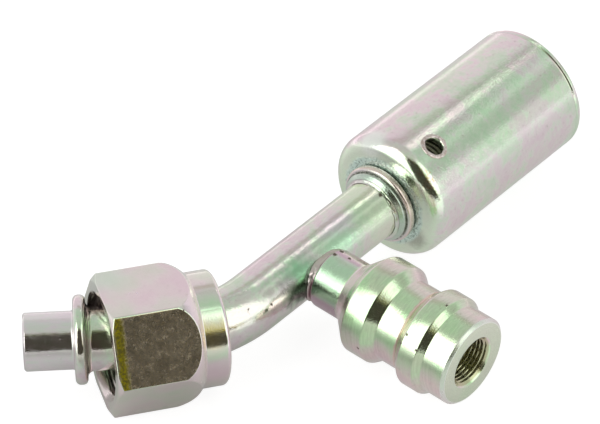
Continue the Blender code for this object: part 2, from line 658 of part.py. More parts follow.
def build():
    """Makes every piece in the plane of the bend and lays the fitting down."""
    for old in list(bpy.data.objects):
        bpy.data.objects.remove(old)

    zinc = {"colour": (0.74, 0.77, 0.70), "metallic": 1.0, "roughness": 0.22}
    root = empty("fitting", None, Matrix())
    shell_frame = empty("shell_axis", root, axis_matrix(SHELL_DIRECTION * SHELL_AT, SHELL_DIRECTION))
    stem_frame = empty("stem_axis", root, axis_matrix(SHELL_DIRECTION * STEM_AT, SHELL_DIRECTION))
    tilt = math.radians(PORT_TILT)
    port_direction = Vector((0.0, -math.cos(tilt), -math.sin(tilt)))
    port_frame = empty("port_axis", root, axis_matrix(SHELL_DIRECTION * PORT_AT, port_direction))
    pin_frame = empty("pin_axis", port_frame, Matrix.Translation((0.0, 0.0, CORE_TOP)))
    nut_frame = empty("nut_axis", root, nut_matrix())

    bent_tube(root, port_frame, material("tube_zinc", **zinc))
    turned("hose_stem", stem_outline(), stem_frame, material("stem_zinc", **zinc), STEM_SIDES)
    shell = crimp_shell(shell_frame, material("shell_zinc", **zinc))
    nut = swivel_nut(nut_frame, material("nut_zinc", **zinc))
    port = turned("service_port", port_outline(), port_frame, material("port_zinc", **zinc), PORT_SIDES)
    stem_braze(stem_frame, material("stem_filler", (0.66, 0.66, 0.56), 1.0, 0.4))
    port_braze(port_frame, material("port_filler", (0.62, 0.55, 0.48), 1.0, 0.45))
    brass = material("core_brass", (0.80, 0.62, 0.30), 1.0, 0.3)
    plastic = material("gasket_white", (0.85, 0.85, 0.82), 0.0, 0.5)
    rubber = material("seal_black", (0.03, 0.03, 0.03), 0.0, 0.7)
    steel = material("spring_steel", (0.6, 0.6, 0.6), 1.0, 0.3)
    valve_core(port_frame, pin_frame, (brass, plastic, rubber, steel))
    bpy.context.view_layer.update()
    lay_down(root, shell, nut, port)


build()
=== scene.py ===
"""Looks of the crimp hose fitting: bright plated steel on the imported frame, with the camera of the photograph.

Lengths are in millimetres until a mesh is made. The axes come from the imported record.
"""
import json
from math import asin, cos, degrees, hypot, pi, radians, sin, sqrt, tan

import bmesh
import bpy
from mathutils import Euler, Matrix, Vector, noise

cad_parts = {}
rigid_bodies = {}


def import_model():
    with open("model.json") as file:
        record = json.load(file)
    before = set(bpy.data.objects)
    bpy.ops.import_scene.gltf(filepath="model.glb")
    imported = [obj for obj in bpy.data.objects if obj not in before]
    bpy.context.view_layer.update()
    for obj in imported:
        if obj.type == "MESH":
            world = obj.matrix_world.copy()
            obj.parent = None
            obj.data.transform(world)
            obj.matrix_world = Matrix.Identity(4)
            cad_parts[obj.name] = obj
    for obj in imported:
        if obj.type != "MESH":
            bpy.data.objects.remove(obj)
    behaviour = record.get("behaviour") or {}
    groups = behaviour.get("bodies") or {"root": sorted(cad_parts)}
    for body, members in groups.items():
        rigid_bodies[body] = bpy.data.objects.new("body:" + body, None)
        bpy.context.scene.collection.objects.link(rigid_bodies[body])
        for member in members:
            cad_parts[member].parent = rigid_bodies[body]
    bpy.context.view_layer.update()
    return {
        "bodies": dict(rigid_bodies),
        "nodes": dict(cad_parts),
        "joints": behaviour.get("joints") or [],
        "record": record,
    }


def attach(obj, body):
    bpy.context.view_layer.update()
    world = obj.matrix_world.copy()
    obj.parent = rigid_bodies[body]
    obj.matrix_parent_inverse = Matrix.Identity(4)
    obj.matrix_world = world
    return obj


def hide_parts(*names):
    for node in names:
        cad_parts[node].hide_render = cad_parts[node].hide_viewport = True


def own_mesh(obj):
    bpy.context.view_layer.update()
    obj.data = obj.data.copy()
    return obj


MM = 0.001

# Bent tube
TUBE_OD = 9.525
TUBE_BORE = 7.125
BEND_ANGLE = 46.5
BEND_RADIUS = 20.8
TIP_TO_BEAD = 8.45
BEAD_TO_BEND = 10.7
PILOT_OD = 8.75
PILOT_BORE = 6.45
BEAD_OD = 13.4
BEAD_WIDTH = 1.9
BEND_TO_PORT = 12.0
PORT_TO_STEM = 16.1
SOCKET_DEPTH = 4.9

# Hose stem, measured from its mouth
COLLAR_OD = 11.7
COLLAR_LENGTH = 0.85
COLLAR_EDGE = 0.55
NECK_OD = 11.3
NECK_RING_OD = 13.0
NECK_RING_START = 1.1
NECK_RING_WIDTH = 1.2
JOURNAL_OD = 11.9
MOUTH_TO_SHELL = 2.6
FLANGE_AT = 4.2
FLANGE_OD = 14.0
FLANGE_WIDTH = 1.3
NIPPLE_OD = 8.0
BARB_OD = 8.8
BARB_COUNT = 4
BARB_PITCH = 6.0
BARB_RAMP = 2.6
BARB_LAND = 0.7
FIRST_BARB = 3.2
STEM_BORE = 5.8
STEM_END = 36.95

# Crimp shell
SHELL_OD = 21.0
SHELL_WALL = 1.15
SHELL_LENGTH = 35.85
SHELL_SHOULDER = 2.6
SHELL_DISH = 0.35
SIGHT_HOLE_OD = 3.2
SIGHT_HOLE_AT = 6.35
SIGHT_HOLE_TURN = 27.5

# Swivel nut, measured from its front face
NUT_FLATS = 19.05
NUT_HEX_LENGTH = 13.8
NUT_COLLAR_OD = 17.5
NUT_COLLAR_LENGTH = 3.9
NUT_FRONT_OD = 19.8
NUT_FRONT_CHAMFER_ANGLE = 61.0
NUT_BLANK_MARGIN = 0.05
NUT_REAR_ROUND = 6.0
NUT_THREAD_OD = 15.875
NUT_THREAD_ID = 14.5
NUT_THREAD_PITCH = 1.411
NUT_THREAD_LENGTH = 10.6
NUT_WALL = 3.6
NUT_SEAT_LENGTH = 1.4
NUT_BORE = 10.8
NUT_PIVOT = 10.4
NUT_SPIN = 28.7

# Service port, measured along its axis from the tube's centre
BOSS_AT = 5.0025
BOSS_OD = 9.55
BOSS_LENGTH = 5.35
REAR_CONE = 3.4
RING_OD = 16.0
REAR_RING = 3.7
RING_TO_GROOVE = 1.65
GROOVE_OD = 13.3
GROOVE_LENGTH = 3.9
GROOVE_TO_RING = 1.4
FRONT_RING = 2.9
RING_TO_NOSE = 1.0
NOSE_OD = 14.3
NOSE_LENGTH = 4.25
PORT_THREAD_OD = 8.0
PORT_THREAD_ID = 7.2
PORT_THREAD_PITCH = 0.65
PORT_THREAD_LENGTH = 9.0
CORE_BORE = 5.3
SPIGOT_OD = 6.0

# Camera, measured in the bend's own frame from the apex of the tube's two straight axes
CAMERA_FROM_APEX = (-376.2035, -345.0543, 449.7744)
CAMERA_TURN = (50.094028, 0.852873, -49.671151)
CAMERA_LENS = 275.53
SENSOR_WIDTH = 36.0

TUBE_RADIUS = TUBE_OD / 2
BEND_TURN = radians(BEND_ANGLE)
APEX_TO_BEND = BEND_RADIUS * tan(BEND_TURN / 2)
TIP_TO_BEND = TIP_TO_BEAD + BEAD_TO_BEND
BEND_LENGTH = BEND_RADIUS * BEND_TURN
PORT_AT = APEX_TO_BEND + BEND_TO_PORT
STEM_AT = PORT_AT + PORT_TO_STEM
SHELL_AT = STEM_AT + MOUTH_TO_SHELL
NOSE_AT = (
    BOSS_AT + BOSS_LENGTH + REAR_CONE + REAR_RING + RING_TO_GROOVE + GROOVE_LENGTH
    + GROOVE_TO_RING + FRONT_RING + RING_TO_NOSE + NOSE_LENGTH
)

NUT_EDGE_BREAK = 0.12
NUT_BEVEL = 0.1
NUT_ROUND_ROWS = 7
NUT_STEPS = [-30.0, -29.5, -29.0, -28.4, -27.0, *(2.5 * k for k in range(-10, 11)), 27.0, 28.4, 29.0, 29.5]
PORT_COUNTERSINK = 0.25
TUBE_PITS = [(36.4, -2.1, 4.3, 0.3), (4.62, -3.06, 3.27, 0.15), (8.51, -4.17, 2.24, 0.2)]
PORT_PITS = [
    (4.76, -0.3, 5.5, 0.3), (4.42, -1.8, 5.6, 0.36), (4.6, -1.27, 7.6, 0.26), (7.99, -0.09, 27.0, 0.22),
    (5.07, 6.16, 24.7, 0.2), (3.66, 6.95, 24.4, 0.22), (3.93, 6.85, 27.2, 0.2), (-1.36, 7.84, 17.2, 0.2),
]
NUT_PITS = [(9.29, 5.52, 0.88, 0.12), (9.22, 5.6, 0.6, 0.1)]
NUT_SPECKS = [(9.53, 0.23, -6.24, 0.1), (9.54, 0.43, -5.09, 0.12)]
CORE_TOP = NOSE_AT - PORT_THREAD_LENGTH - (PORT_THREAD_OD - CORE_BORE) / 2
CORE_SEAT = CORE_TOP - 5.6
CUP_STOP = CORE_TOP - 0.3 - 4.9 - 0.1 - 7.2 - 0.1 - 0.2 - 1.4 - 1.2 - 0.3
BRAZE_GAP = 0.06
TUBE_SIDES = 128
STEM_SIDES = 144
SHELL_SIDES = 192
PORT_SIDES = 180
BURR_ROWS = 10
BURR_SIDES = 64
DRILL_SIDES = 48
THREAD_ROWS = 14
SMOOTH_LIMIT = 30.0

# Looks. The plating's tints are the coating's own colour with a painted sheen that follows each surface's turn from
# one direction, which is fixed on the object: the side that the photograph shows. Each row is a place from 0 to 1 and
# the tint there.
PHOTO_SIDE = Vector((-0.5912, -0.5163, 0.6195))
TUBE_SHEEN_TINTS = [
    (0.0, (1.06, 1.05, 0.93)), (0.3, (1.05, 1.04, 0.95)), (0.5, (1.05, 1.04, 0.97)), (0.64, (1.04, 1.03, 0.96)),
    (0.7, (1.02, 1.04, 0.95)), (0.75, (1.01, 1.06, 0.94)), (0.8, (0.98, 1.1, 0.91)), (1.0, (1.04, 1.06, 0.88)),
]
PORT_SHEEN_TINTS = [
    (0.0, (1.08, 1.0, 0.92)), (0.35, (1.11, 0.98, 0.92)), (0.52, (1.11, 0.99, 0.9)), (0.64, (1.03, 1.05, 0.87)),
    (0.74, (0.9, 1.2, 0.78)), (1.0, (0.96, 1.18, 0.78)),
]
NUT_SHEEN_TINTS = [
    (0.0, (1.05, 1.03, 0.91)), (0.4, (1.07, 1.01, 0.94)), (0.65, (1.09, 0.96, 0.96)), (0.8, (1.05, 0.99, 0.94)),
    (0.86, (0.9, 1.1, 0.82)), (0.93, (1.0, 1.08, 0.84)), (1.0, (1.16, 1.12, 0.66)),
]
FILLER_SHEEN_TINTS = [(0.0, (1.1, 0.94, 0.9)), (0.6, (1.04, 0.9, 0.84)), (1.0, (1.0, 0.98, 0.86))]
CLOUD_TINTS = [
    (0.0, (0.8, 1.0, 0.82)), (0.38, (0.92, 1.0, 0.92)), (0.5, (0.98, 0.98, 0.98)), (0.62, (1.0, 0.93, 0.98)),
    (1.0, (1.0, 0.85, 0.97)),
]
# Painted light: surfaces that face this direction are tinted pinker, as if lit pink from that side
PINK_LIGHT_SIDE = Vector((-0.02, 0.45, 0.89))
PINK_LIGHT_TINT = (1.03, 0.955, 0.99)
STAIN_COLOUR = (0.4, 0.37, 0.27)
HOLE_COLOUR = (0.1, 0.08, 0.06)
PIT_COLOUR = (0.16, 0.13, 0.1)
PIT_DULL = 0.45
GRAIN_RADIUS = 4.8
GRAIN_RUN = 250.0
DEGREES = 180.0 / pi

# Studio, in degrees: levels from straight down to straight up, then patches as (left, right, softness),
# (low, high, softness) and colour, then the dark side
STUDIO_LEVELS = [
    (0.0, (0.7, 0.7, 0.7)), (0.5, (0.78, 0.78, 0.78)), (0.72, (0.72, 0.72, 0.72)), (0.82, (0.58, 0.58, 0.58)),
    (1.0, (0.53, 0.54, 0.53)),
]
STUDIO_PATCHES = [
    ((138.0, 185.0, 3.0), (3.0, 64.0, 6.0), (2.3, 2.3, 2.3)),
    ((262.0, 304.0, 4.0), (6.0, 65.0, 6.0), (1.45, 1.45, 1.45)),
    ((306.0, 334.0, 3.0), (21.0, 43.5, 3.0), (0.5, 0.5, 0.49)),
    ((306.0, 334.0, 3.0), (2.0, 18.0, 3.0), (0.72, 0.72, 0.7)),
    ((24.0, 50.0, 4.0), (44.0, 53.0, 2.5), (0.5, 0.49, 0.44)),
    ((0.0, 26.0, 3.0), (43.5, 50.5, 1.5), (0.4, 0.39, 0.37)),
    ((0.0, 24.0, 3.0), (56.8, 62.0, 1.5), (0.4, 0.42, 0.38)),
    ((0.0, 18.0, 3.0), (51.9, 55.9, 1.0), (2.0, 1.88, 1.86)),
    ((330.0, 356.0, 4.0), (49.5, 55.0, 1.5), (0.42, 0.45, 0.42)),
]
DARK_LEFT = 186.0
DARK_RIGHT = 253.0
DARK_LEAN = 0.8
DARK_RISE = (-9.0, 67.0, 8.0)
DARK_RIM = (0.24, 0.23, 0.17)
DARK_EDGE = (0.68, 0.57, 0.02)
DARK_HEART = (0.04, 0.034, 0.024)

# Floor, in metres from the object's middle. The glow that reflections and bounced light see is painted: a painted
# shadow near the object, lighter on one side, and painted pools of light in brighter sectors, which are left, right,
# softness, start, end and amount
FLOOR_SIZE = 3.0
FLOOR_COLOUR = 0.32
FLOOR_GLOW_SEEN = 0.86
FLOOR_GLOW_NEAR_SHADOW = (0.15, 0.4)
FLOOR_GLOW_FAR = 0.62
FLOOR_PAINTED_LIGHT_SIDE = (0.66, -0.75, 0.0)
FLOOR_PAINTED_LIGHT_SECTORS = [
    (40.0, 100.0, 10.0, 0.05, 0.32, 0.14), (45.0, 95.0, 10.0, 0.012, 0.07, 0.16),
    (150.0, 178.0, 8.0, 0.03, 0.06, 0.15), (70.0, 125.0, 8.0, 0.01, 0.05, 0.22),
    (255.0, 300.0, 6.0, 0.05, 0.32, 0.12), (255.0, 302.0, 6.0, 0.014, 0.06, 0.4),
    (300.0, 332.0, 4.0, 0.03, 0.07, 0.06),
]

# Valve spring, in metres: the way it shortens
SPRING_AXIS = Vector((0.001586, -0.997045, -0.076799))


def smoothstep(value):
    """Eases a share from 0 to 1."""
    value = min(max(value, 0.0), 1.0)
    return value * value * (3.0 - 2.0 * value)


def add_object(name, data):
    """A new object in the scene."""
    made = bpy.data.objects.new(name, data)
    bpy.context.scene.collection.objects.link(made)
    return made


def axis_matrix(origin, direction, normal):
    """A frame with Z along a direction and X as near to a normal as it can be."""
    z_axis = direction.normalized()
    x_axis = (normal - z_axis * normal.dot(z_axis)).normalized()
    made = Matrix((x_axis, z_axis.cross(x_axis), z_axis)).transposed().to_4x4()
    made.translation = origin
    return made


def packed_axes(frame):
    """The bend's frame and the frames of the turned pieces, from the record's mounts and joints."""
    mounts = {mount["name"]: mount for mount in frame["record"]["mounts"]}
    spin = next(joint for joint in frame["joints"] if joint["name"] == "nut_spin")
    shell = Vector(mounts["shell_end"]["axis"]).normalized()
    normal = shell.cross(Vector(mounts["pilot_tip"]["axis"])).normalized()
    side = normal.cross(shell)
    rim_middle = (SHELL_OD - SHELL_WALL) / 2
    shell_end = Vector(mounts["shell_end"]["pos_m"]) + side * rim_middle * MM
    apex = shell_end - shell * (SHELL_AT + SHELL_LENGTH) * MM
    bend = Matrix((shell, side, normal)).transposed().to_4x4()
    bend.translation = apex
    return {
        "bend": bend,
        "stem": axis_matrix(apex + shell * STEM_AT * MM, shell, normal),
        "shell": axis_matrix(apex + shell * SHELL_AT * MM, shell, normal),
        "port": axis_matrix(apex + shell * PORT_AT * MM, Vector(mounts["port_nose"]["axis"]), normal),
        "nut": axis_matrix(Vector(spin["pos_m"]), Vector(spin["axis"]), normal),
    }


def rounded(corners, step=12.0):
    """Turns a closed outline of (height, radius, fillet) corners into points, with an arc for each fillet."""
    points = []
    count = len(corners)
    for k in range(count):
        height, radius, fillet = corners[k]
        here = Vector((height, radius))
        if fillet <= 0.0:
            points.append((height, radius))
            continue
        back = Vector(corners[k - 1][:2]) - here
        ahead = Vector(corners[(k + 1) % count][:2]) - here
        half = back.angle(ahead) / 2
        reach = min(fillet / tan(half), 0.49 * back.length, 0.49 * ahead.length)
        size = reach * tan(half)
        middle = here + (back.normalized() + ahead.normalized()).normalized() * size / sin(half)
        first = here + back.normalized() * reach - middle
        last = here + ahead.normalized() * reach - middle
        turn = first.angle_signed(last)
        steps = max(1, round(degrees(abs(turn)) / step))
        for j in range(steps + 1):
            arm = first.copy()
            arm.rotate(Matrix.Rotation(-turn * j / steps, 2))
            points.append(tuple(middle + arm))
    return points


def grid_piece(name, grid, frame, look):
    """A closed body through rings of points in millimetres; the last ring joins the first."""
    rows = len(grid)
    columns = len(grid[0])
    body = bmesh.new()
    layer = body.loops.layers.uv.new("UVMap")
    verts = [[body.verts.new(Vector(point) * MM) for point in ring] for ring in grid]
    along = [0.0]
    for k in range(rows):
        along.append(along[-1] + (Vector(grid[(k + 1) % rows][0]) - Vector(grid[k][0])).length * MM)
    for i in range(rows):
        after = (i + 1) % rows
        for j in range(columns):
            beside = (j + 1) % columns
            face = body.faces.new((verts[i][j], verts[i][beside], verts[after][beside], verts[after][j]))
            ends = ((i, j), (i, j + 1), (i + 1, j + 1), (i + 1, j))
            for loop, (row, column) in zip(face.loops, ends):
                loop[layer].uv = (along[row], column / columns)
    bmesh.ops.remove_doubles(body, verts=body.verts, dist=1e-7)
    bmesh.ops.recalc_face_normals(body, faces=body.faces)
    mesh = bpy.data.meshes.new(name)
    body.to_mesh(mesh)
    body.free()
    mesh.transform(frame)
    mesh.shade_smooth()
    mesh.set_sharp_from_angle(angle=radians(SMOOTH_LIMIT))
    if look:
        mesh.materials.append(look)
    return add_object(name, mesh)


def polar(turn, radius=1.0, height=0.0):
    """A point at a turn about Z."""
    return Vector((radius * cos(turn), radius * sin(turn), height))


def circle(sides):
    """Equal turns round a circle."""
    return [2.0 * pi * k / sides for k in range(sides)]


def turned(name, outline, frame, look, sides):
    """A turned body; a radius in the outline may be a function of the turn."""
    grid = []
    for height, radius in outline:
        sizes = [(turn, radius(turn) if callable(radius) else radius) for turn in circle(sides)]
        grid.append([polar(turn, size, height) for turn, size in sizes])
    return grid_piece(name, grid, frame, look)


def thread_rows(start, end, pitch, root, crest, opening):
    """Rows of an internal thread from its mouth inwards; opening(depth) is the countersink's radius there."""
    count = round(abs(end - start) / pitch * THREAD_ROWS)
    inward = 1.0 if end > start else -1.0
    rows = []
    for k in range(count + 1):
        depth = abs(end - start) * k / count
        left = abs(end - start) - depth

        def radius(turn, depth=depth, left=left):
            phase = (depth / pitch - inward * turn / (2.0 * pi)) % 1.0
            rise = min(max((abs(2.0 * phase - 1.0) - 0.12) / 0.74, 0.0), 1.0)
            rise *= smoothstep(left / pitch)
            return max(root - (root - crest) * rise, opening(depth))

        rows.append((start + inward * depth, radius))
    return rows


def drill(name, radius, start, end, frame):
    """A rod that cuts a round hole."""
    return turned(name, [(start, radius), (end, radius), (end, 0.01), (start, 0.01)], frame, None, DRILL_SIDES)


def carve(piece, cutters):
    """Cuts bodies out of a piece and bakes the result into its mesh."""
    for tool in cutters:
        step = piece.modifiers.new(tool.name, "BOOLEAN")
        step.operation = "DIFFERENCE"
        step.solver = "EXACT"
        step.object = tool
    bake(piece)
    for tool in cutters:
        bpy.data.objects.remove(tool)


def bake(piece):
    """Replaces a piece's mesh with the result of its modifiers."""
    bpy.context.view_layer.update()
    graph = bpy.context.evaluated_depsgraph_get()
    ready = bpy.data.meshes.new_from_object(piece.evaluated_get(graph), depsgraph=graph)
    piece.modifiers.clear()
    old = piece.data
    ready.name = piece.name
    piece.data = ready
    bpy.data.meshes.remove(old)


def centreline(distance):
    """Point and direction of the tube's centreline at a distance from the pilot's tip, in the bend's frame."""
    pilot = Vector((-cos(BEND_TURN), sin(BEND_TURN), 0.0))
    if distance < TIP_TO_BEND:
        return pilot * (APEX_TO_BEND + TIP_TO_BEND - distance), -pilot
    if distance < TIP_TO_BEND + BEND_LENGTH:
        turn = BEND_TURN - (distance - TIP_TO_BEND) / BEND_RADIUS
        arm = Vector((sin(turn), cos(turn), 0.0))
        point = Vector((APEX_TO_BEND, BEND_RADIUS, 0.0)) - BEND_RADIUS * arm
        return point, Vector((cos(turn), -sin(turn), 0.0))
    return Vector((APEX_TO_BEND + distance - TIP_TO_BEND - BEND_LENGTH, 0.0, 0.0)), Vector((1.0, 0.0, 0.0))


def tube_ring(distance, radius, sides):
    """A ring of points about the tube's centreline."""
    point, direction = centreline(distance)
    normal = Vector((0.0, 0.0, 1.0))
    side = direction.cross(normal)
    return [point + radius * (cos(turn) * normal + sin(turn) * side) for turn in circle(sides)]


def bent_tube(axes, look):
    """The tube with its chamfered pilot, upset bead, bend and cross hole."""
    pilot = PILOT_OD / 2
    half = BEAD_WIDTH / 2
    front = TIP_TO_BEAD - half
    rear = TIP_TO_BEAD + half
    length = TIP_TO_BEND + BEND_LENGTH + STEM_AT - APEX_TO_BEND + SOCKET_DEPTH
    corners = [
        (0.0, pilot - 0.3, 0.1), (0.3, pilot, 0.15), (front, pilot, 0.35), (front, BEAD_OD / 2, 0.8),
        (rear, BEAD_OD / 2, 0.8), (rear, TUBE_RADIUS, 0.9), (length, TUBE_RADIUS, 0.2), (length, TUBE_BORE / 2, 0.2),
        (rear, TUBE_BORE / 2, 0.5), (front, PILOT_BORE / 2, 0.5), (0.0, PILOT_BORE / 2, 0.25),
    ]
    outline = []
    points = rounded(corners)
    for k, (distance, radius) in enumerate(points):
        outline.append((distance, radius))
        after, next_radius = points[(k + 1) % len(points)]
        if abs(after - distance) > 12.0:
            steps = round(abs(after - distance) / 0.6)
            for j in range(1, steps):
                share = j / steps
                outline.append((distance + (after - distance) * share, radius + (next_radius - radius) * share))
    grid = [tube_ring(distance, radius, TUBE_SIDES) for distance, radius in outline]
    made = grid_piece("bent_tube_formed", grid, axes["bend"], look)
    carve(made, [drill("port_hole_drill", SPIGOT_OD / 2 + BRAZE_GAP, 0.0, TUBE_OD, axes["port"])])
    return made


def hose_stem(axes, look):
    """The stem with its collar, bead ring, flange and barbs."""
    nipple_at = FLANGE_AT + FLANGE_WIDTH
    nipple = NIPPLE_OD / 2
    ring_end = NECK_RING_START + NECK_RING_WIDTH
    corners = [
        (0.0, COLLAR_OD / 2 - COLLAR_EDGE, 0.15), (COLLAR_EDGE, COLLAR_OD / 2, 0.3),
        (COLLAR_LENGTH, COLLAR_OD / 2, 0.15), (COLLAR_LENGTH, NECK_OD / 2, 0.1), (NECK_RING_START, NECK_OD / 2, 0.1),
        (NECK_RING_START, NECK_RING_OD / 2, 0.5), (ring_end, NECK_RING_OD / 2, 0.5), (ring_end, JOURNAL_OD / 2, 0.1),
        (FLANGE_AT, JOURNAL_OD / 2, 0.1), (FLANGE_AT, FLANGE_OD / 2, 0.15), (nipple_at, FLANGE_OD / 2, 0.15),
        (nipple_at, nipple, 0.2),
    ]
    for k in range(BARB_COUNT):
        barb = nipple_at + FIRST_BARB + k * BARB_PITCH
        corners += [(barb, nipple, 0.1), (barb, BARB_OD / 2, 0.08), (barb + BARB_LAND, BARB_OD / 2, 0.1)]
        corners.append((barb + BARB_LAND + BARB_RAMP, nipple, 0.6))
    socket = TUBE_RADIUS + BRAZE_GAP
    corners += [
        (STEM_END - 0.5, nipple, 0.2), (STEM_END, nipple - 0.5, 0.15), (STEM_END, STEM_BORE / 2, 0.15),
        (SOCKET_DEPTH + 0.1, STEM_BORE / 2, 0.15), (SOCKET_DEPTH + 0.1, socket, 0.1), (0.0, socket, 0.15),
    ]
    return turned("hose_stem_turned", rounded(corners), axes["stem"], look, STEM_SIDES)


def crimp_shell(axes, look):
    """The drawn shell with its rounded shoulder, sight holes and lipped open end."""
    outer = SHELL_OD / 2
    inner = outer - SHELL_WALL
    hole = JOURNAL_OD / 2 + 0.1
    corners = [
        (0.0, hole, 0.35), (0.0, hole + 0.4, 0.3), (SHELL_DISH + 0.2, outer, SHELL_SHOULDER),
        (SHELL_LENGTH - 1.25, outer, 0.2), (SHELL_LENGTH - 1.0, outer - 0.16, 0.1),
        (SHELL_LENGTH - 0.75, outer, 0.15), (SHELL_LENGTH - 0.28, outer, 0.2), (SHELL_LENGTH, outer - 0.4, 0.2),
        (SHELL_LENGTH, inner, 0.3), (SHELL_DISH + SHELL_WALL, inner, SHELL_SHOULDER - SHELL_WALL),
        (SHELL_DISH + SHELL_WALL, hole, 0.1),
    ]
    points = rounded(corners, 7.5)
    outline = []
    low = SIGHT_HOLE_AT - 2.8
    high = SIGHT_HOLE_AT + 2.8
    for here, there in zip(points, points[1:] + points[:1]):
        outline.append(here)
        if abs(there[0] - here[0]) > 20.0:
            stations = [low + (high - low) * k / 24 for k in range(25)]
            if there[0] < here[0]:
                stations.reverse()
            outline += [(station, here[1]) for station in stations]
    for k, (height, radius) in enumerate(outline):
        if height < 0.5 and radius < hole + 0.8:

            def uneven(turn, height=height, radius=radius):
                return radius + 0.1 * noise.noise(polar(turn, 9.0, 2.0 * height + 3.0 * radius))

            outline[k] = (height, uneven)
    made = turned("crimp_shell_drawn", outline, axes["shell"], look, SHELL_SIDES)
    drills = []
    for k in range(2):
        place = sight_hole_frame(axes, k)
        drills.append(drill(f"sight_hole_drill_{k}", SIGHT_HOLE_OD / 2, outer - 2.5, outer + 1.0, place))
    carve(made, drills)
    return made


def sight_hole_frame(axes, k):
    """A frame at the shell's axis whose Z points out through a sight hole."""
    outward = polar(radians(SIGHT_HOLE_TURN) + pi * k)
    facing = outward.to_track_quat("Z", "Y").to_matrix().to_4x4()
    return axes["shell"] @ Matrix.Translation((0.0, 0.0, SIGHT_HOLE_AT * MM)) @ facing


def sight_hole_burr(axes, k, look):
    """The raised, slightly uneven lip that the punch left round a sight hole."""
    outer = SHELL_OD / 2
    frame = sight_hole_frame(axes, k)
    shell = axes["shell"].inverted() @ frame
    flat_axis = shell.to_3x3().transposed() @ Vector((0.0, 0.0, 1.0))
    grid = []
    for section in circle(BURR_ROWS):
        ring = []
        for turn in circle(BURR_SIDES):
            size = 0.32 + 0.13 * noise.noise(polar(turn, 2.0, 3.0 + k))
            radius = SIGHT_HOLE_OD / 2 + 0.24 + size * cos(section)
            place = polar(turn, radius, outer + size * 0.5 * sin(section))
            across = place - flat_axis * place.dot(flat_axis)
            sideways = Vector((across.x, across.y, 0.0)).length
            ring.append((place.x, place.y, place.z - outer + sqrt(outer**2 - sideways**2)))
        grid.append(ring)
    return grid_piece(f"sight_hole_burr_{k}", grid, frame, look)


def nut_section(turn):
    """Rows of the nut's outside at a turn from a flat's middle, from the front face to the collar."""
    flat = NUT_FLATS / 2
    blend = 0.35
    reach = flat / cos(turn)
    centre = (flat - blend) / cos(pi / 6)
    if abs(flat * tan(turn)) > (flat - blend) * tan(pi / 6):
        away = pi / 6 - abs(turn)
        reach = centre * cos(away) + sqrt(blend**2 - (centre * sin(away)) ** 2)
    lean = tan(radians(NUT_FRONT_CHAMFER_ANGLE))
    first = max((reach - NUT_FRONT_OD / 2) / lean, NUT_EDGE_BREAK)
    rows = [(0.0, min(reach - NUT_EDGE_BREAK, NUT_FRONT_OD / 2)), (first, reach)]
    middle = NUT_FLATS / sqrt(3.0) + NUT_BLANK_MARGIN - NUT_REAR_ROUND
    last = asin((NUT_COLLAR_OD / 2 - middle) / NUT_REAR_ROUND)
    start = NUT_HEX_LENGTH - NUT_REAR_ROUND * cos(last)
    leave = asin((reach - middle) / NUT_REAR_ROUND)
    for k in range(NUT_ROUND_ROWS):
        lift = leave + (last - leave) * k / (NUT_ROUND_ROWS - 1)
        rows.append((start + NUT_REAR_ROUND * cos(lift), middle + NUT_REAR_ROUND * sin(lift)))
    return rows


def swivel_nut(axes, look):
    """The hexagon nut, built flat by flat so that the chamfers meet the flats in true arcs."""
    collar = NUT_COLLAR_OD / 2
    end = NUT_HEX_LENGTH + NUT_COLLAR_LENGTH
    root = NUT_THREAD_OD / 2
    crest = NUT_THREAD_ID / 2
    relief = root + 0.15
    bore = NUT_BORE / 2
    tail = rounded([
        (NUT_HEX_LENGTH, collar, 0.0), (end, collar, 0.75), (end, bore, 0.6),
        (end - NUT_WALL, bore, 0.15), (end - NUT_WALL - NUT_SEAT_LENGTH, relief, 0.3),
        (NUT_THREAD_LENGTH, relief, 0.3), (NUT_THREAD_LENGTH - 0.3, root, 0.0), (0.0, root, 0.0),
    ])[1:-2]
    rows = thread_rows(0.0, NUT_THREAD_LENGTH - 0.4, NUT_THREAD_PITCH, root, crest, lambda depth: root + 0.4 - depth)
    columns = []
    for k in range(6):
        for step in NUT_STEPS:
            columns.append((radians(step), radians(NUT_SPIN + 30.0 + 60.0 * k + step)))
    grid = []
    sections = [nut_section(off) for off, _ in columns]
    for j in range(len(sections[0])):
        grid.append([(section[j][0], section[j][1], turn) for section, (_, turn) in zip(sections, columns)])
    for height, radius in tail:
        grid.append([(height, radius, turn) for _, turn in columns])
    for height, radius in rows[::-1]:
        grid.append([(height, radius(turn), turn) for _, turn in columns])
    points = [[polar(turn, radius, height - NUT_PIVOT) for height, radius, turn in ring] for ring in grid]
    made = grid_piece("swivel_nut_machined", points, axes["nut"], look)
    soften_nut(made, axes["nut"])
    return made


def soften_nut(made, frame):
    """Small round edges on the nut's outside."""
    body = bmesh.new()
    body.from_mesh(made.data)
    inward = frame.inverted()
    weight = body.edges.layers.float.new("bevel_weight_edge")
    for edge in body.edges:
        if len(edge.link_faces) != 2:
            continue
        middle = inward @ ((edge.verts[0].co + edge.verts[1].co) / 2)
        outside = hypot(middle.x, middle.y) > (NUT_THREAD_OD / 2 + 0.6) * MM
        if outside and edge.calc_face_angle() > radians(20.0):
            edge[weight] = 1.0
    body.to_mesh(made.data)
    body.free()
    step = made.modifiers.new("edges", "BEVEL")
    step.limit_method = "WEIGHT"
    step.width = NUT_BEVEL * MM
    step.segments = 3
    bake(made)
    made.data.shade_smooth()
    made.data.set_sharp_from_angle(angle=radians(40.0))
    normals = made.modifiers.new("normals", "WEIGHTED_NORMAL")
    normals.keep_sharp = True
    normals.weight = 80
    bake(made)


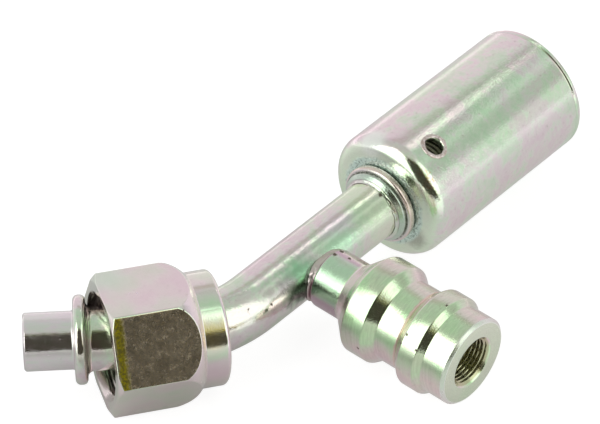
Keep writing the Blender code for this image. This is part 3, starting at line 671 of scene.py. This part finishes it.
def service_port(axes, look):
    """The port's body with its two rings, groove, countersunk mouth and cap thread."""
    boss = BOSS_OD / 2
    ring = RING_OD / 2
    groove = GROOVE_OD / 2
    nose = NOSE_OD / 2
    at = BOSS_AT
    corners = [(TUBE_BORE / 2 + 0.25, SPIGOT_OD / 2, 0.1), (at, SPIGOT_OD / 2, 0.05), (at, boss, 0.35)]
    for length, radius, fillet in [
        (BOSS_LENGTH, boss, 0.5), (REAR_CONE, ring, 0.55), (REAR_RING, ring, 0.5), (RING_TO_GROOVE, groove, 0.5),
        (GROOVE_LENGTH, groove, 0.5), (GROOVE_TO_RING, ring, 0.5), (FRONT_RING, ring, 0.45), (RING_TO_NOSE, nose, 0.3),
    ]:
        at += length
        corners.append((at, radius, fillet))
    root = PORT_THREAD_OD / 2
    mouth = root + PORT_COUNTERSINK
    corners += [(NOSE_AT - 0.4, nose, 0.2), (NOSE_AT, nose - 0.4, 0.15), (NOSE_AT, mouth, 0.1)]
    outline = rounded(corners + [(NOSE_AT - 1.0, mouth - 1.0, 0.0)])[:-1]
    rows = thread_rows(
        NOSE_AT - 0.15, NOSE_AT - PORT_THREAD_LENGTH, PORT_THREAD_PITCH, root, PORT_THREAD_ID / 2,
        lambda depth: mouth - 0.15 - depth,
    )
    outline += rows
    core = CORE_BORE / 2
    at = NOSE_AT - PORT_THREAD_LENGTH
    outline += [(at - root + core, core), (CORE_SEAT, core), (CORE_SEAT - 1.1, 2.15)]
    outline += [(CUP_STOP, 2.15), (CUP_STOP - 0.35, 1.8), (TUBE_BORE / 2 + 0.25, 1.8)]
    return turned("service_port_machined", outline, axes["port"], look, PORT_SIDES)


def braze(name, rings, frame, look, size, seed):
    """A body of filler with the lumps and ripples of a brazed joint."""
    grid = []
    for ring in rings:
        moved = []
        for point, amount in ring:
            place = Vector(point)
            lump = noise.noise(place * 0.9 + Vector((seed, 0.0, 0.0))) + 0.5 * noise.noise(place * 2.3)
            moved.append(place + Vector(amount) * size * lump)
        grid.append(moved)
    return grid_piece(name, grid, frame, look)


def stem_braze(axes, look):
    """Fillet of filler round the tube at the stem's mouth, with a lumpy front edge."""
    tube = TUBE_RADIUS + BRAZE_GAP
    size = 0.46
    rings = []
    for k in range(9):
        turn = radians(360.0 - 75.0 * k / 8)
        height = -BRAZE_GAP - size + size * cos(turn)
        rings.append((height, tube + size + size * sin(turn), k / 8))
    rings += [(rings[-1][0], tube, 1.0), (-BRAZE_GAP, tube, 0.0)]
    grid = []
    for height, radius, share in rings:
        ring = []
        for outward in map(polar, circle(STEM_SIDES)):
            free = share if radius > tube + 0.001 or share > 0.5 else 0.0
            amount = Vector((0.0, 0.0, -free)) + (outward * 0.35 if radius > tube + 0.001 else Vector())
            ring.append((outward * radius + Vector((0.0, 0.0, height)), amount))
        grid.append(ring)
    return braze("stem_braze_fillet", grid, axes["stem"], look, 0.16, 4.0)


def port_braze(axes, look):
    """Filler drawn into the wedge between the boss's flat end and the round of the tube."""
    tube = TUBE_RADIUS + BRAZE_GAP
    spigot = SPIGOT_OD / 2 + BRAZE_GAP
    top = BOSS_AT - 0.04
    lip = BOSS_OD / 2 - 0.42
    columns = []
    for outward in map(polar, circle(STEM_SIDES)):
        across = abs(outward.x)
        reach = BOSS_OD / 2 + 0.35 - 1.7 * across**2
        foot = sqrt(tube**2 - (reach * across) ** 2)
        hollow = (top - 0.3 * (top - foot), reach + 0.1 * (lip - reach))
        column = [(outward * spigot + Vector((0.0, 0.0, top)), 0.0)]
        for step in range(9):
            share = step / 8
            weights = ((1.0 - share) ** 2, 2.0 * share * (1.0 - share), share**2)
            height = weights[0] * top + weights[1] * hollow[0] + weights[2] * foot
            radius = weights[0] * lip + weights[1] * hollow[1] + weights[2] * reach
            column.append((outward * radius + Vector((0.0, 0.0, height)), sin(pi * share)))
        for step in range(1, 6):
            radius = reach + (spigot - reach) * step / 5
            height = sqrt(tube**2 - (radius * across) ** 2)
            column.append((outward * radius + Vector((0.0, 0.0, height)), 0.0))
        columns.append([(place, outward * free) for place, free in column])
    rings = [[column[i] for column in columns] for i in range(len(columns[0]))]
    return braze("port_braze_fillet", rings, axes["port"], look, 0.22, 9.0)


class Graph:
    """Short ways to add and join shader nodes in a tree."""

    def __init__(self, tree):
        self.tree = tree

    def put(self, socket, value):
        if isinstance(value, bpy.types.NodeSocket):
            self.tree.links.new(value, socket)
        elif socket.type == "RGBA":
            socket.default_value = (*value, 1.0)
        else:
            socket.default_value = value

    def fill(self, node, inputs):
        for name, value in inputs.items():
            self.put(node.inputs[name], value)

    def add(self, kind, inputs=None, **settings):
        node = self.tree.nodes.new("ShaderNode" + kind)
        for name, value in settings.items():
            setattr(node, name, value)
        self.fill(node, inputs or {})
        return node

    def math(self, operation, *values, clamp=False):
        node = self.add("Math", dict(enumerate(values)), operation=operation, use_clamp=clamp)
        return node.outputs[0]

    def plus(self, first, *others):
        for other in others:
            first = self.math("ADD", first, other)
        return first

    def minus(self, first, second):
        return self.math("SUBTRACT", first, second)

    def times(self, first, *others):
        for other in others:
            first = self.math("MULTIPLY", first, other)
        return first

    def vector(self, operation, *values, output=0):
        return self.add("VectorMath", dict(enumerate(values)), operation=operation).outputs[output]

    def part(self, vector, axis):
        return self.add("SeparateXYZ", {"Vector": vector}).outputs[axis]

    def join(self, x, y, z=0.0):
        return self.add("CombineXYZ", {"X": x, "Y": y, "Z": z}).outputs[0]

    def dot(self, vector, direction):
        return self.vector("DOT_PRODUCT", vector, tuple(direction), output=1)

    def scaled(self, vector, size):
        inputs = {0: vector, "Scale": size}
        return self.add("VectorMath", inputs, operation="SCALE").outputs[0]

    def from_place(self, spot, place, stretch=None):
        """Distance from a place, measured in axes that are stretched first where that is asked for."""
        if stretch:
            spot = self.vector("MULTIPLY", spot, stretch)
        return self.vector("DISTANCE", spot, place, output=1)

    def from_axis(self, spot):
        """Distance from the Z axis."""
        return self.vector("LENGTH", self.vector("MULTIPLY", spot, (1.0, 1.0, 0.0)), output=1)

    def bearing(self, vector):
        """A vector's turn about Z, from 0 to 360 degrees."""
        turn = self.math("ARCTAN2", self.part(vector, "Y"), self.part(vector, "X"))
        return self.math("FLOORED_MODULO", self.times(turn, DEGREES), 360.0)

    def ease(self, value, low, high, start=0.0, end=1.0):
        names = {"Value": value, "From Min": low, "From Max": high, "To Min": start, "To Max": end}
        return self.add("MapRange", names, interpolation_type="SMOOTHSTEP").outputs[0]

    def fade(self, value, low, high, start=1.0):
        return self.ease(value, low, high, start, 0.0)

    def patch(self, value, low, high, soft):
        return self.times(self.ease(value, low - soft, low + soft), self.fade(value, high - soft, high + soft))

    def mix(self, share, first, second, blend="MIX"):
        return self.add("Mix", {0: share, 6: first, 7: second}, data_type="RGBA", blend_type=blend).outputs[2]

    def noise(self, vector, scale, detail=3.0, rough=0.5):
        names = {"Vector": vector, "Scale": scale, "Detail": detail, "Roughness": rough}
        return self.add("TexNoise", names).outputs[0]

    def ripple(self, vector, scale, detail, size, rough=0.5):
        """Noise about 0."""
        return self.times(self.minus(self.noise(vector, scale, detail, rough), 0.5), size)

    def ramp(self, value, stops):
        node = self.add("ValToRGB", {"Fac": value})
        elements = node.color_ramp.elements
        while len(elements) < len(stops):
            elements.new(0.5)
        for element, (place, colour) in zip(elements, stops):
            element.position = place
            element.color = (*colour, 1.0)
        return node.outputs[0]

    def bump(self, height, depth):
        return self.add("Bump", {"Height": height, "Distance": depth * MM, "Strength": 0.8}).outputs[0]


def grey(level):
    return (level, level, level)


def new_material(name):
    """An empty Principled material and its graph."""
    made = bpy.data.materials.new(name)
    made.use_nodes = True
    return made, Graph(made.node_tree), made.node_tree.nodes["Principled BSDF"]


def local_place(graph, frame):
    """Texture coordinates, and the place in millimetres in a piece's own frame."""
    place = graph.add("TexCoord")
    names = {"Vector": place.outputs["Object"], "Location": frame.translation, "Rotation": frame.to_euler()}
    local = graph.add("Mapping", names, vector_type="TEXTURE").outputs[0]
    return place, graph.scaled(local, 1.0 / MM)


def marks_at(graph, spot, places, soft=0.12):
    """A mask that is 1 within a radius of each of some places, with ragged edges."""
    nearest = None
    for x, y, z, radius in places:
        away = graph.minus(graph.from_place(spot, (x, y, z)), radius)
        nearest = away if nearest is None else graph.math("MINIMUM", nearest, away)
    return graph.fade(graph.plus(nearest, graph.ripple(spot, 2.6, 3.0, 0.6)), -soft, soft)


def coat(mask, tint, dull=0.0, bare=0.0, bumpy=0.0):
    """One painted patch: where it is, its tint, and how much duller, barer and bumpier it is."""
    return mask, tint, dull, bare, bumpy


def tube_paint(graph, spot, normal):
    """Stains and painted shade beside the port, the pilot's greyer film and drawn grain, and small pits."""
    ragged = graph.ripple(spot, 0.9, 4.0, 3.0)
    calmer = graph.times(ragged, 0.5)

    def stain(centre, stretch, inner, outer, share, edge):
        away = graph.from_place(spot, centre, (stretch, 1.0, 1.0))
        return graph.fade(graph.plus(away, edge), inner, outer, share)

    out = (-cos(BEND_TURN), sin(BEND_TURN), 0.0)
    along = graph.dot(spot, out)
    across = graph.times(graph.dot(spot, (out[1], -out[0], 0.0)), 2.6)
    drawn = graph.join(graph.times(along, 0.5), graph.times(graph.part(spot, "Z"), 2.6), across)
    grain = graph.ease(graph.noise(drawn, 1.0, 4.0, 0.7), 0.42, 0.66)
    pilot = graph.ease(along, 20.3, 20.8)
    by_stem = graph.ease(graph.plus(graph.part(spot, "X"), ragged), 28.0, 34.0, 0.0, 0.5)
    return [
        coat(graph.times(pilot, 0.6), (0.88, 0.83, 0.85), 0.02),
        coat(graph.times(pilot, grain, 0.45), (0.92, 0.78, 0.86), 0.14),
        coat(by_stem, (0.84, 0.96, 0.68)),
        # Painted shade: the tube darker and greener where it faces the boss
        coat(stain((12.6, -4.4, 2.6), 0.8, 1.4, 4.6, 0.85, ragged), (0.3, 0.64, 0.36), 0.05),
        coat(stain((7.5, -3.9, 2.7), 0.6, 0.6, 2.0, 0.8, calmer), (0.52, 0.46, 0.47), 0.1, bumpy=0.6),
        coat(stain((13.2, -1.7, 4.4), 0.5, 0.8, 2.4, 0.7, calmer), (0.82, 0.74, 0.79)),
        coat(stain((12.4, -3.7, 2.9), 0.5, 0.8, 2.6, 0.75, calmer), (0.62, 0.98, 0.66)),
        # Painted shade: a near-black spot where the tube faces the boss's dark side
        coat(stain((8.2, -5.0, 0.9), 0.55, 0.6, 2.8, 0.92, ragged), (0.1, 0.12, 0.08), 0.1),
        coat(marks_at(graph, spot, TUBE_PITS), PIT_COLOUR, PIT_DULL),
    ]


def stem_paint(graph, spot, normal):
    """Greener collar, pinkish bead ring, dark speckled grooves beside it that are partly painted shade, and dark
    stripes inside the shell.
    """
    height = graph.part(spot, "Z")
    across = graph.from_axis(spot)
    bead = graph.patch(height, NECK_RING_START + 0.1, NECK_RING_START + NECK_RING_WIDTH - 0.1, 0.1)
    # Partly painted shade: the grooves beside the bead ring are darkened all over, with darker specks on top
    grooves = graph.times(graph.ease(height, 0.8, 0.9), graph.fade(across, 6.0, 6.2))
    specks = graph.ease(graph.noise(spot, 2.2, 4.0, 0.7), 0.42, 0.55, 0.35, 0.95)
    inside = graph.ease(height, 5.6, 5.9)
    lines = graph.ease(graph.math("SINE", graph.times(height, 7.5)), -0.2, 0.5)
    return [
        coat(graph.fade(height, 0.9, 1.0, 0.7), (0.5, 0.64, 0.52), 0.05, bumpy=0.8),
        coat(graph.times(bead, graph.ease(across, 6.05, 6.25), 0.8), (0.82, 0.68, 0.6), 0.04, bumpy=0.3),
        coat(graph.times(grooves, specks), (0.24, 0.27, 0.21), 0.12, bumpy=1.5),
        coat(inside, (0.95, 0.93, 0.8), 0.12),
        coat(graph.times(inside, lines), (0.14, 0.13, 0.09)),
    ]


def shell_paint(graph, spot, normal):
    """Greener drawn face, a painted highlight and painted shade on the shoulder, brown specks, and a rough inner edge.
    """
    height = graph.part(spot, "Z")
    ragged = graph.ripple(spot, 0.8, 4.0, 2.4)
    calmer = graph.times(ragged, 0.4)
    fine = graph.noise(spot, 2.4, 4.0, 0.75)
    face = graph.fade(graph.plus(height, graph.times(ragged, 0.3)), 0.5, 1.3, 0.7)
    # Painted shade on the lower part of the face beside the neck
    dark = graph.fade(graph.plus(graph.from_place(spot, (-3.9, 5.6, 0.2)), ragged), 1.2, 3.4, 0.75)
    streak = graph.from_place(spot, (4.2, 4.2, 1.6), (0.6, 0.6, 1.0))
    streak = graph.fade(graph.plus(streak, calmer), 0.7, 1.5)
    edge = graph.fade(graph.plus(graph.from_axis(spot), calmer), 7.1, 7.9)
    # Painted highlight on the top of the shoulder
    white = graph.fade(graph.from_place(spot, (9.3, -3.0, 1.1)), 1.2, 3.2, 0.85)
    return [
        coat(face, (0.84, 1.0, 0.76), 0.03),
        coat(white, (0.97, 1.0, 0.93), 0.02, bumpy=0.6),
        coat(dark, (0.42, 0.43, 0.36), 0.12, bumpy=0.5),
        coat(graph.times(streak, graph.ease(fine, 0.5, 0.6, 0.0, 0.8)), (0.7, 0.5, 0.28), 0.1),
        coat(edge, (0.74, 0.92, 0.82), 0.05, bumpy=3.0),
        coat(graph.times(edge, graph.ease(fine, 0.5, 0.58, 0.0, 0.8)), (0.3, 0.38, 0.32), 0.15),
    ]


def port_paint(graph, spot, normal):
    """Green boss with painted shade on its lower side, a pinker painted reflection on the rear cone, pinker painted
    shade in the corner at the groove's end, a duller nose face with a rough edge, painted shade in the mouth, and
    pits.
    """
    height = graph.part(spot, "Z")
    across = graph.from_axis(spot)
    wavy = graph.plus(height, graph.ripple(spot, 1.2, 3.0, 0.5))
    rear = BOSS_AT + BOSS_LENGTH + 0.15
    front = rear + REAR_CONE + REAR_RING + RING_TO_GROOVE + GROOVE_LENGTH
    outside = graph.ease(across, 4.2, 4.3)
    # Painted shade inside the threaded mouth
    mouth_shade = graph.times(graph.fade(across, 3.95, 4.12), graph.ease(height, 18.0, 19.0))
    # Painted reflection: a bright pink band on the rear cone where it faces the tube
    cone = graph.times(graph.patch(wavy, rear - 0.3, rear + 2.0, 0.25), outside)
    # Painted shade in the corner where the groove meets the front ring
    groove_corner_shade = graph.times(graph.patch(wavy, front - 0.45, front + 0.35, 0.15), outside)
    face = graph.times(graph.ease(height, NOSE_AT - 0.03, NOSE_AT - 0.01), outside)
    rim = graph.patch(across, NOSE_OD / 2 - 0.55, NOSE_OD / 2 + 0.1, 0.1)
    rim = graph.times(rim, graph.ease(height, NOSE_AT - 0.7, NOSE_AT - 0.4))
    boss = graph.fade(wavy, rear - 0.7, rear - 0.3)
    # Painted shade on the boss's lower side
    boss_underside_shade = graph.fade(graph.dot(normal, PHOTO_SIDE), 0.5, 0.66, 0.85)
    return [
        coat(graph.times(boss, 0.55), (0.54, 0.76, 0.6), 0.08),
        coat(graph.times(boss, boss_underside_shade), (0.68, 0.46, 0.56), 0.03),
        coat(graph.times(mouth_shade, 0.75), (0.52, 0.47, 0.28), 0.12),
        coat(graph.times(cone, 0.8), (1.0, 0.83, 0.82), 0.05, 0.45),
        coat(graph.times(groove_corner_shade, 0.8), (0.84, 0.6, 0.54), 0.04),
        coat(graph.times(face, 0.6), (0.56, 0.72, 0.5), 0.12),
        coat(graph.times(rim, 0.7), (0.9, 0.9, 0.84), 0.22, 0.2, 1.0),
        coat(marks_at(graph, spot, PORT_PITS), (0.18, 0.14, 0.11), PIT_DULL),
    ]


def nut_paint(axes):
    """One flat painted darker and browner as a painted reflection of the dark side, with a coarse grain and a yellow
    front band, a greener patch, a painted highlight on the rear arcs, and nicks.
    """
    turn = radians(NUT_SPIN + 30.0)
    flat = axes["nut"].to_3x3() @ Vector((cos(turn), sin(turn), 0.0))
    rearward = axes["nut"].to_3x3() @ Vector((0.0, 0.0, 1.0))
    hexagon_end = NUT_HEX_LENGTH - NUT_PIVOT

    def painted(graph, spot, normal):
        height = graph.part(spot, "Z")
        # Painted reflection: the flat that faces the dark side is painted darker and browner, with a grain
        side = graph.ease(graph.dot(normal, flat), 0.975, 0.99)
        side = graph.times(side, graph.fade(height, hexagon_end - 0.2, hexagon_end))
        band = graph.patch(graph.plus(height, graph.ripple(spot, 1.3, 5.0, 1.54, 0.7)), -10.1, -8.75, 0.35)
        band = graph.times(side, band)
        mottle = graph.fade(graph.noise(spot, 2.6, 4.0, 0.7), 0.44, 0.6, 0.85)
        # Painted highlight on the rearward-facing round
        rear = graph.times(graph.ease(graph.dot(normal, rearward), 0.24, 0.36), graph.ease(height, 0.5, 1.2))
        grain = graph.noise(spot, 2.4, 5.0, 0.75)
        return [
            coat(graph.fade(graph.from_place(spot, (9.5, -5.0, -9.4)), 1.5, 6.0, 0.6), (0.76, 0.88, 0.76)),
            coat(graph.times(rear, 0.8), (1.0, 0.94, 0.93), 0.08, 0.35),
            coat(side, (0.7, 0.62, 0.48), 0.09),
            coat(graph.times(side, graph.ease(grain, 0.46, 0.66, 0.0, 0.5)), (0.8, 0.62, 0.42), 0.04),
            coat(graph.times(side, graph.fade(grain, 0.34, 0.5, 0.55)), (0.4, 0.36, 0.25)),
            coat(band, (0.36, 0.31, 0.0), 0.3, bumpy=0.4),
            coat(graph.times(band, mottle), (0.13, 0.11, 0.02)),
            coat(marks_at(graph, spot, NUT_PITS, 0.08), PIT_COLOUR, PIT_DULL),
            coat(marks_at(graph, spot, NUT_SPECKS, 0.05), (0.95, 0.95, 0.95), 0.6, 0.9),
        ]

    return painted


def tool_marks(graph, place, spot, lay, grain):
    """Noise drawn out round a turned piece or along a drawn tube."""
    if lay == "turned":
        swirl = graph.scaled(spot, 0.12)
        around = graph.join(graph.part(spot, "Z"), graph.from_axis(spot))
        return graph.noise(graph.vector("ADD", around, swirl), grain, 3.0, 0.65)
    turn = graph.times(graph.part(place.outputs["UV"], "Y"), 2.0 * pi)
    ring = [graph.times(graph.math(kind, turn), GRAIN_RADIUS) for kind in ("COSINE", "SINE")]
    run = graph.times(graph.part(place.outputs["UV"], "X"), GRAIN_RUN)
    return graph.noise(graph.join(*ring, run), grain, 3.0, 0.6)


def plating(name, frame, tints=TUBE_SHEEN_TINTS, lay="turned", film=500.0, plate=0.81, rough=0.14, stain=0.4, marks=0.5,
            grain=3.6, lumps=0.3, streaks=0.08, clouds=1.0, mottle=0.0, pits=0.0, waves=0.0, pink_light=0.0, paint=None):
    """Bright zinc over steel: a passivation tint with a painted sheen that turns with the surface, a painted pinker
    light on one side, tool marks, mottling and stains.
    """
    made, graph, shader = new_material(name)
    place, spot = local_place(graph, frame)
    normal = place.outputs["Normal"]
    fine = graph.noise(spot, 1.7, 6.0, 0.7)
    shift = graph.ripple(spot, 0.2, 2.0, 0.24)
    # Painted sheen: the tint is read off the surface's turn from one fixed direction
    facing = graph.math("ADD", graph.math("ABSOLUTE", graph.dot(normal, PHOTO_SIDE)), shift, clamp=True)
    colour = graph.ramp(facing, [(at, tuple(plate * part for part in tint)) for at, tint in tints])
    hue = graph.plus(graph.ripple(spot, 0.17, 2.0, 2.0), graph.times(graph.minus(fine, 0.5), 0.3))
    if mottle:
        hue = graph.plus(hue, graph.ripple(spot, 0.8, 3.0, mottle, 0.65))
    cloud = graph.ramp(graph.math("ADD", hue, 0.5, clamp=True), CLOUD_TINTS)
    colour = graph.mix(clouds, colour, cloud, "MULTIPLY")
    # Painted light: a pinker tint on the side that faces one fixed direction
    if pink_light:
        side = graph.plus(graph.dot(normal, PINK_LIGHT_SIDE), graph.times(shift, 0.5))
        pinker = graph.mix(1.0, colour, PINK_LIGHT_TINT, "MULTIPLY")
        colour = graph.mix(graph.ease(side, 0.8, 0.95, 0.0, pink_light), colour, pinker)
    speck = graph.ease(fine, 0.55, 0.75)
    colour = graph.mix(graph.times(speck, stain), colour, STAIN_COLOUR)
    lines = tool_marks(graph, place, spot, lay, grain)
    streak = graph.ease(lines, 0.3, 0.7, 1.0 - streaks, 1.0 + 0.4 * streaks)
    streak = graph.add("CombineColor", {"Red": streak, "Green": streak, "Blue": streak}).outputs[0]
    colour = graph.mix(1.0, colour, streak, "MULTIPLY")
    height = graph.plus(graph.times(lines, marks), graph.times(graph.noise(spot, 4.6, 2.0, 0.55), lumps))
    if waves:
        height = graph.plus(height, graph.times(graph.noise(spot, 0.55, 2.0), waves))
    if pits:
        holes = graph.add("TexVoronoi", {"Vector": spot, "Scale": 0.9, "Randomness": 1.0})
        reach = graph.ease(graph.noise(spot, 0.45, 2.0), 0.5, 0.8, 0.0, 0.22)
        pit = graph.fade(graph.minus(holes.outputs["Distance"], reach), -0.06, 0.0)
        colour = graph.mix(graph.times(pit, pits), colour, HOLE_COLOUR)
        height = graph.minus(height, graph.times(pit, 1.2))
    level = graph.plus(graph.ripple(spot, 0.6, 4.0, 0.2, 0.6), rough, graph.times(speck, 0.15))
    metal = 0.95
    if paint:
        for mask, tint, dull, bare, bumpy in paint(graph, spot, normal):
            colour = graph.mix(mask, colour, tint)
            if bumpy:
                height = graph.plus(height, graph.times(mask, graph.times(graph.noise(spot, 1.8, 3.0, 0.7), bumpy)))
            level = graph.plus(level, graph.times(mask, dull))
            metal = graph.times(metal, graph.minus(1.0, graph.times(mask, bare)))
    graph.fill(shader, {
        "Metallic": metal, "Base Color": colour, "Normal": graph.bump(height, 0.055),
        "Roughness": graph.math("MINIMUM", graph.math("MAXIMUM", level, 0.05), 0.9),
        "IOR": 4.0, "Thin Film Thickness": film, "Thin Film IOR": 1.6,
    })
    return made


def plain(name, first, second, rough, bumps=0.01, metallic=1.0):
    """A small part's material: two mottled colours with fine bumps."""
    made, graph, shader = new_material(name)
    _, spot = local_place(graph, Matrix())
    cloud = graph.noise(spot, 2.5, 5.0, 0.6)
    dull = graph.ease(graph.noise(spot, 4.25, 3.0), 0.3, 0.7, rough - 0.06, rough + 0.08)
    colour = graph.mix(graph.ease(cloud, 0.35, 0.65), first, second)
    graph.fill(shader, {
        "Base Color": colour, "Roughness": dull, "Normal": graph.bump(cloud, bumps), "Metallic": metallic,
    })
    return made


def studio():
    """A white surround for the camera, and for light and reflections a room with soft windows and a dark side."""
    world = bpy.data.worlds.new("studio")
    bpy.context.scene.world = world
    world.use_nodes = True
    graph = Graph(world.node_tree)
    outward = graph.add("TexCoord").outputs["Generated"]
    bearing = graph.bearing(outward)
    rise = graph.times(graph.math("ARCSINE", graph.part(outward, "Z")), DEGREES)
    colour = graph.ramp(graph.plus(graph.math("DIVIDE", rise, 180.0), 0.5), STUDIO_LEVELS)
    for sides, heights, tint in STUDIO_PATCHES:
        colour = graph.mix(graph.times(graph.patch(bearing, *sides), graph.patch(rise, *heights)), colour, tint)
    lean = graph.times(graph.math("MINIMUM", graph.minus(rise, 32.0), 0.0), DARK_LEAN)
    inner = graph.ease(bearing, DARK_LEFT - 4.5, DARK_LEFT + 4.5)
    inner = graph.times(inner, graph.patch(rise, *DARK_RISE))
    mask = graph.times(inner, graph.fade(graph.plus(bearing, lean), DARK_RIGHT - 4.0, DARK_RIGHT + 4.0))
    rim = graph.mix(graph.ease(inner, 0.6, 0.95), DARK_RIM, DARK_EDGE)
    colour = graph.mix(graph.ease(mask, 0.05, 0.45), colour, rim)
    colour = graph.mix(graph.ease(mask, 0.5, 0.85), colour, DARK_HEART)
    seen = graph.add("LightPath").outputs["Is Camera Ray"]
    graph.put(world.node_tree.nodes["Background"].inputs["Color"], graph.mix(seen, colour, grey(1.0)))


def floor(level):
    """A pale floor that is near white to the camera and keeps a soft shadow; what reflections and bounced light see of
    it holds a painted shadow near the object and painted pools of light in some sectors.
    """
    mesh = bpy.data.meshes.new("floor")
    corners = [(x * FLOOR_SIZE, y * FLOOR_SIZE, level) for x, y in ((-1, -1), (1, -1), (1, 1), (-1, 1))]
    mesh.from_pydata(corners, [], [(0, 1, 2, 3)])
    look, graph, shader = new_material("floor_white")
    graph.fill(shader, {
        "Base Color": grey(FLOOR_COLOUR), "Emission Color": grey(1.0), "Roughness": 0.9, "Specular IOR Level": 0.0,
    })
    seen = graph.add("LightPath").outputs["Is Camera Ray"]
    spot = graph.add("TexCoord").outputs["Object"]
    away = graph.vector("LENGTH", spot, output=1)
    bearing = graph.bearing(spot)
    # Painted shadow: the glow seen in reflections and bounced light is lower near the object, and a little lighter on
    # one side
    near = graph.ease(graph.dot(spot, FLOOR_PAINTED_LIGHT_SIDE), -0.035, 0.015, *FLOOR_GLOW_NEAR_SHADOW)
    far = graph.ease(away, 0.05, 0.32)
    glow = graph.plus(graph.times(near, graph.minus(1.0, far)), graph.times(far, FLOOR_GLOW_FAR))
    # Painted pools of light: brighter sectors of that glow
    for left, right, soft, start, end, amount in FLOOR_PAINTED_LIGHT_SECTORS:
        lift = graph.times(graph.patch(bearing, left, right, soft), graph.ease(away, start, end))
        glow = graph.plus(glow, graph.times(lift, amount))
    glow = graph.plus(graph.times(glow, graph.minus(1.0, seen)), graph.times(seen, FLOOR_GLOW_SEEN))
    graph.put(shader.inputs["Emission Strength"], glow)
    mesh.materials.append(look)
    add_object("floor", mesh)


def camera(bend):
    """The photograph's viewpoint."""
    data = bpy.data.cameras.new("camera")
    data.lens = CAMERA_LENS
    data.sensor_width = SENSOR_WIDTH
    data.clip_end = 10.0
    made = add_object("camera", data)
    turn = Euler([radians(angle) for angle in CAMERA_TURN], "XYZ").to_matrix().to_4x4()
    turn.translation = Vector(CAMERA_FROM_APEX) * MM
    made.matrix_world = bend @ turn
    bpy.context.scene.camera = made


def dress(piece, node=None, body="fitting_body"):
    """Puts a piece on a body, in place of a CAD node where one is named."""
    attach(piece, body)
    if node:
        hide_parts(node)


def dress_pieces(axes):
    """Builds and places the detailed pieces that are seen from outside."""
    dress(bent_tube(axes, plating(
        "tube_plating", axes["bend"], lay="drawn", rough=0.13, marks=0.15, lumps=0.26, streaks=0.03, mottle=1.1,
        waves=0.9, pink_light=0.8, paint=tube_paint,
    )), "bent_tube")
    dress(hose_stem(axes, plating(
        "stem_plating", axes["stem"], rough=0.18, lumps=0.7, pits=0.8, paint=stem_paint,
    )), "hose_stem")
    dress(crimp_shell(axes, plating(
        "shell_plating", axes["shell"], plate=0.85, rough=0.11, marks=0.04, lumps=0.4, streaks=0.01, mottle=1.1,
        waves=0.4, pink_light=1.0, paint=shell_paint,
    )), "crimp_shell")
    burr_look = plain("burr_plated", (0.82, 0.75, 0.71), (0.55, 0.46, 0.4), 0.3, 0.04)
    for k in range(2):
        dress(sight_hole_burr(axes, k, burr_look))
    dress(swivel_nut(axes, plating(
        "nut_plating", axes["nut"], NUT_SHEEN_TINTS, film=460.0, plate=0.85, marks=0.04, lumps=0.14, streaks=0.01,
        clouds=0.6, stain=0.12, paint=nut_paint(axes),
    )), "swivel_nut", "nut")
    dress(service_port(axes, plating(
        "port_plating", axes["port"], PORT_SHEEN_TINTS, film=520.0, plate=0.77, marks=0.42, grain=4.6, clouds=0.8,
        paint=port_paint,
    )), "service_port")
    dress(stem_braze(axes, plating(
        "stem_filler_plating", axes["stem"], rough=0.22, marks=0.2, lumps=0.6, pits=0.6,
    )), "stem_braze")
    dress(port_braze(axes, plating(
        "port_filler_plating", axes["port"], FILLER_SHEEN_TINTS, plate=0.62, rough=0.32, marks=0.2, lumps=0.8, pits=0.9,
    )), "port_braze")


def dress_valve_core(nodes):
    """Gives the CAD pieces of the valve core their materials, and gives the spring a mesh of its own."""
    brass = plain("core_brass_worn", (0.8, 0.62, 0.3), (0.62, 0.46, 0.2), 0.28)
    looks = {
        "valve_core_plug": brass, "valve_core_barrel": brass, "valve_pin": brass, "valve_cup": brass,
        "barrel_gasket": plain("gasket_plastic", (0.86, 0.86, 0.82), (0.78, 0.77, 0.72), 0.5, metallic=0.0),
        "valve_cup_seal": plain("seal_rubber", (0.03, 0.03, 0.03), (0.06, 0.06, 0.06), 0.7, metallic=0.0),
        "valve_spring": plain("spring_wire", (0.6, 0.6, 0.6), (0.48, 0.47, 0.45), 0.3),
    }
    for name, look in looks.items():
        made = nodes[name]
        if not made.material_slots:
            made.data.materials.append(look)
        for place in made.material_slots:
            place.material = look
    spring = nodes["valve_spring"]
    heights = [(spring.matrix_world @ corner.co).dot(SPRING_AXIS) for corner in spring.data.vertices]
    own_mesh(spring)


def main():
    for old in list(bpy.data.objects):
        bpy.data.objects.remove(old)
    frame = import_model()
    bpy.context.scene.view_settings.view_transform = "Standard"
    axes = packed_axes(frame)
    camera(axes["bend"])
    studio()
    floor(0.0)
    dress_pieces(axes)
    dress_valve_core(frame["nodes"])


main()
